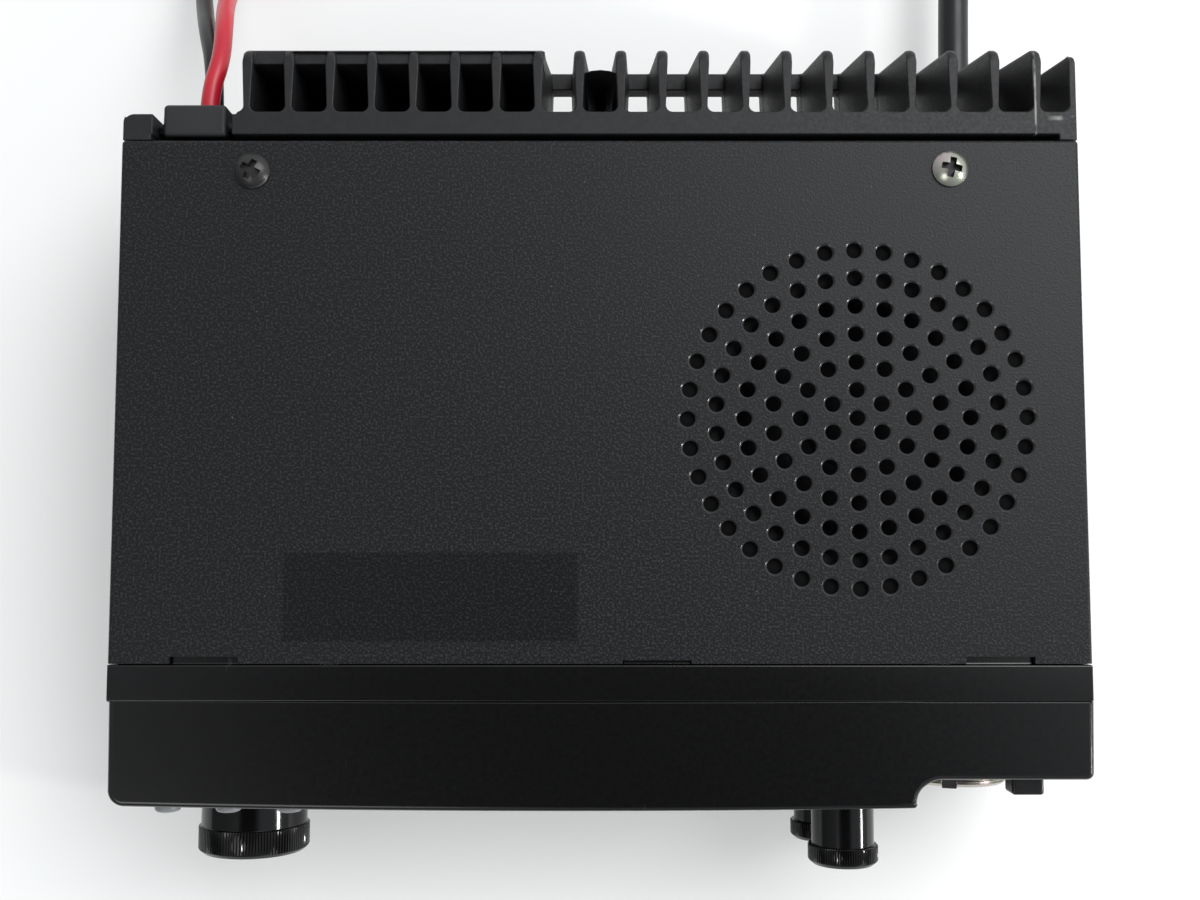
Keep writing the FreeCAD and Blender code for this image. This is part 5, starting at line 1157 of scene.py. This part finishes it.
def make_socket_shell(place):
    """Make the threaded shell with the slot for the plug's key."""
    low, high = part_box("mic_socket_shell")
    reach = (place[1] - low[1]) / MM - 0.25
    back = (place[1] - high[1]) / MM
    thread = thread_line(reach - 0.45, 1.0, 8.0, 7.72, 0.55, (0.22, 0.30))
    shell = spun("mic_shell", [(6.7, back), (6.7, reach - 0.3), (6.9, reach), (7.55, reach)] + thread
                 + [(7.7, 0.4), (7.7, back)], SOCKET_STEPS)
    slot = add_block("key_slot", (-1.2 * MM, 5.6 * MM, (reach - 3.4) * MM), (1.2 * MM, 9.0 * MM, 8 * MM))
    set_down(slot, (0.0, 0.0, 0.0), "up", math.radians(KEY_TURN))
    carve(shell, slot)
    smooth(shell, 38)
    set_down(shell, place, "front")
    finish(shell, "nickel", "mic_socket_shell")


def make_socket_insert(place):
    """Turn the frame's insert a little about the socket's axis."""
    insert = fine_copy("mic_socket_insert", 0.12 * MM, 2, 40.0)
    centre = Vector(place)
    insert.data.transform(Matrix.Translation(centre) @ Matrix.Rotation(math.radians(-INSERT_TURN), 4, "Y")
                          @ Matrix.Translation(-centre))
    finish(insert, "insert_black", "mic_socket_insert")


def make_socket_nut(place):
    """Make the plain ring nut."""
    nut = spun("mic_nut", [
        (7.85, 0.0), (8.5, 0.0), (8.6, 0.12), (8.6, 1.35), (8.4, 1.6), (7.95, 1.6), (7.85, 1.5),
    ], SOCKET_STEPS)
    smooth(nut, 35)
    set_down(nut, place, "front")
    finish(nut, "nickel", "mic_socket_nut")


class RADIO_OT_add_microphone_socket(bpy.types.Operator):
    """Add the threaded shell, ring nut and insert of the microphone socket"""
    bl_idname = "radio.add_microphone_socket"
    bl_label = "Microphone Socket"

    def execute(self, context):
        middle = middle_of("mic_socket_nut")
        place = (middle[0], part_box("mic_socket_nut")[1][1], middle[2])
        make_socket_shell(place)
        make_socket_insert(place)
        make_socket_nut(place)
        return {"FINISHED"}


# Screws

# The cross recess as shares of the head's width, and its depth as a share of the head's thickness
CROSS_ARM = 0.345
CROSS_HALF = 0.110
CROSS_MIDDLE = 0.14
CROSS_DEEP = 0.75
CROSS_TAPER = (0.72, 0.7, 1.0)
EDGE_TILT = 50.0
EDGE_TALL = 0.30
DOME_STEPS = 10


def make_cross_screw(name, width, shank, long):
    """Make a domed screw with a cross recess, its head resting on the XY plane."""
    rim = width / 2
    round_radius = rim / math.sin(math.radians(EDGE_TILT))
    thick = EDGE_TALL + round_radius * (1 - math.cos(math.radians(EDGE_TILT)))
    top = [(rim - 0.02, 0.0)]
    for step in range(DOME_STEPS + 1):
        tilt = math.radians(EDGE_TILT * (1 - step / DOME_STEPS))
        top.append((round_radius * math.sin(tilt), thick - round_radius * (1 - math.cos(tilt))))
    shaft = [(0.0, -long), (shank / 2 - 0.2, -long), (shank / 2, -long + 0.3), (shank / 2, 0.0)]
    screw = spun(name, shaft + top, 48)
    arm, half = width * CROSS_ARM, width * CROSS_HALF
    deep = thick * CROSS_DEEP
    cutters = []
    for turn in (0.0, math.pi / 2):
        bar = add_block("cross_bar", (-arm * MM, -half * MM, -deep * MM), (arm * MM, half * MM, 1.0 * MM))
        pick_points(bar, lambda point: point.z < 0)
        bpy.ops.transform.resize(value=CROSS_TAPER, center_override=(0.0, 0.0, 0.0))
        stop_edit()
        set_down(bar, (0.0, 0.0, thick * MM), "up", turn)
        cutters.append(bar)
    cutters.append(add_tube("cross_middle", width * CROSS_MIDDLE * MM, -deep * MM, 1.0 * MM, 12))
    set_down(cutters[-1], (0.0, 0.0, thick * MM))
    for cutter in cutters:
        carve(screw, cutter)
    smooth(screw, 34, False)
    # The faces of the cross recess get the second finish, a dark colour painted as shade in the recess
    for face in screw.data.polygons:
        inside = math.hypot(face.center.x, face.center.y) < arm * MM and face.center.z > 0.0
        if inside and (face.normal.z < 0.62 or face.center.z < (thick - deep) * MM + 0.05 * MM):
            face.material_index = 1
    return screw


# Width of the head, width of the shank and length of each kind of screw, in millimetres
PAN_SCREW = (5.25, 2.35, 6.0)
SINK_SCREW = (5.38, 2.35, 7.5)
SINK_SCREW_X = (-58.0, -26.0, 6.0, 38.0)
SIDE_SCREW_HEIGHT = 6.0 * MM
NICKEL_SHIFT = 0.30 * MM


class RADIO_OT_add_screws(bpy.types.Operator):
    """Add the cover screws and the screws that hold the heat sink"""
    bl_idname = "radio.add_screws"
    bl_label = "Screws"

    def execute(self, context):
        # Each screw's cross recess gets the recess finish, which is painted shade
        pattern = make_cross_screw("pan_screw", *PAN_SCREW)
        screw_x, screw_y = NICKEL_SCREW[:2]
        half = CASE_HIGH[0]
        black = [another(pattern, (-screw_x, screw_y, CASE_TOP), "up", math.radians(64)),
                 another(pattern, (-half, screw_y, SIDE_SCREW_HEIGHT), "left", math.radians(20)),
                 another(pattern, (half, screw_y, SIDE_SCREW_HEIGHT), "right", math.radians(75))]
        finish(join("black_screws", black), "screw_black", "black_cover_screws", inner="recess")
        nickel_place = (screw_x + NICKEL_SHIFT, screw_y + NICKEL_SHIFT, CASE_TOP)
        nickel = another(pattern, nickel_place, "up", math.radians(-12))
        nickel.name = "nickel_screw"
        finish(nickel, "nickel", "nickel_cover_screw", inner="recess")
        bpy.data.objects.remove(pattern)
        pattern = make_cross_screw("sink_screw", *SINK_SCREW)
        low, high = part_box("sink_screws")
        rear = high[1] - 2.0 * MM
        copies = [another(pattern, (x * MM, rear, (low[2] + high[2]) / 2), "rear", x) for x in SINK_SCREW_X]
        bpy.data.objects.remove(pattern)
        finish(join("sink_screw_set", copies), "screw_black", "sink_screws", inner="recess")
        return {"FINISHED"}


# Rear fittings

class RADIO_OT_add_rear_fittings(bpy.types.Operator):
    """Add the wire grommet, the coaxial gland and the speaker jack"""
    bl_idname = "radio.add_rear_fittings"
    bl_label = "Rear Fittings"

    def execute(self, context):
        soften("power_grommet", "rubber", 0.65 * MM, 4)
        soften("antenna_gland", "rubber", 0.3 * MM, 3)
        soften("speaker_jack", "nickel", 0.15 * MM)
        return {"FINISHED"}


# Speaker behind the grille

CONE_BACK = [
    (0.0, -4.9), (2.6, -5.1), (5.0, -5.7), (7.0, -6.0), (19.4, -1.6), (20.2, -0.95), (21.1, -0.75),
    (22.0, -1.0), (22.6, -0.9), (23.0, -0.6), (23.0, -0.25),
]
CONE_FRONT = [
    (22.5, -0.45), (22.0, -0.6), (21.1, -0.35), (20.0, -0.55), (19.2, -1.1), (6.9, -5.3), (6.4, -4.6),
    (4.8, -3.9), (2.5, -3.4), (0.0, -3.2),
]
SPEAKER_PARTS = {"speaker_basket": "steel", "speaker_magnet": "magnet", "speaker_felt": "felt"}


class RADIO_OT_add_speaker(bpy.types.Operator):
    """Add the speaker's cone, basket, magnet and felt ring"""
    bl_idname = "radio.add_speaker"
    bl_label = "Speaker"

    def execute(self, context):
        place = (*middle_of("speaker_basket")[:2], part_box("speaker_basket")[1][2])
        cone = spun("speaker_paper_cone", CONE_BACK + CONE_FRONT, 72)
        smooth(cone, 35)
        set_down(cone, place)
        finish(cone, "cone", "speaker_cone")
        for node, slot in SPEAKER_PARTS.items():
            soften(node, slot, 0.12 * MM)
        return {"FINISHED"}


# CAD nodes that keep their own shape

class RADIO_OT_paint_frame(bpy.types.Operator):
    """Give the frame's own pieces their finishes"""
    bl_idname = "radio.paint_frame"
    bl_label = "Finishes"

    def execute(self, context):
        LOOKS.update(make_looks())
        record_slots = {part["node"]: part["material_slot"] for part in frame["record"]["subparts"]}
        for node, piece in frame["nodes"].items():
            piece.data.materials.clear()
            piece.data.materials.append(LOOKS[record_slots[node]])
        return {"FINISHED"}


OPERATORS = (
    RADIO_OT_paint_frame,
    RADIO_OT_add_stage,
    RADIO_OT_add_leads,
    RADIO_OT_add_covers,
    RADIO_OT_add_castings,
    RADIO_OT_add_front,
    RADIO_OT_add_buttons,
    RADIO_OT_add_knobs,
    RADIO_OT_add_microphone_socket,
    RADIO_OT_add_screws,
    RADIO_OT_add_rear_fittings,
    RADIO_OT_add_speaker,
)


class RADIO_PT_panel(bpy.types.Panel):
    """Lists the radio's sizes, colours and pieces"""
    bl_idname = "RADIO_PT_panel"
    bl_label = "Mobile Radio"
    bl_space_type = "VIEW_3D"
    bl_region_type = "UI"
    bl_category = "Radio"

    def draw(self, context):
        layout = self.layout
        for group in (context.scene.radio_sizes, context.scene.radio_colours):
            for name in group.__annotations__:
                layout.prop(group, name)
        for operator in OPERATORS:
            layout.operator(operator.bl_idname)


CLASSES = (RadioSizes, RadioColours) + OPERATORS + (RADIO_PT_panel,)


def register():
    for item in CLASSES:
        bpy.utils.register_class(item)
    bpy.types.Scene.radio_sizes = bpy.props.PointerProperty(type=RadioSizes)
    bpy.types.Scene.radio_colours = bpy.props.PointerProperty(type=RadioColours)


def unregister():
    del bpy.types.Scene.radio_colours
    del bpy.types.Scene.radio_sizes
    for item in reversed(CLASSES):
        bpy.utils.unregister_class(item)


def main():
    register()
    for operator in OPERATORS:
        family, name = operator.bl_idname.split(".")
        getattr(getattr(bpy.ops, family), name)()
    deselect()


if __name__ == "__main__":
    main()
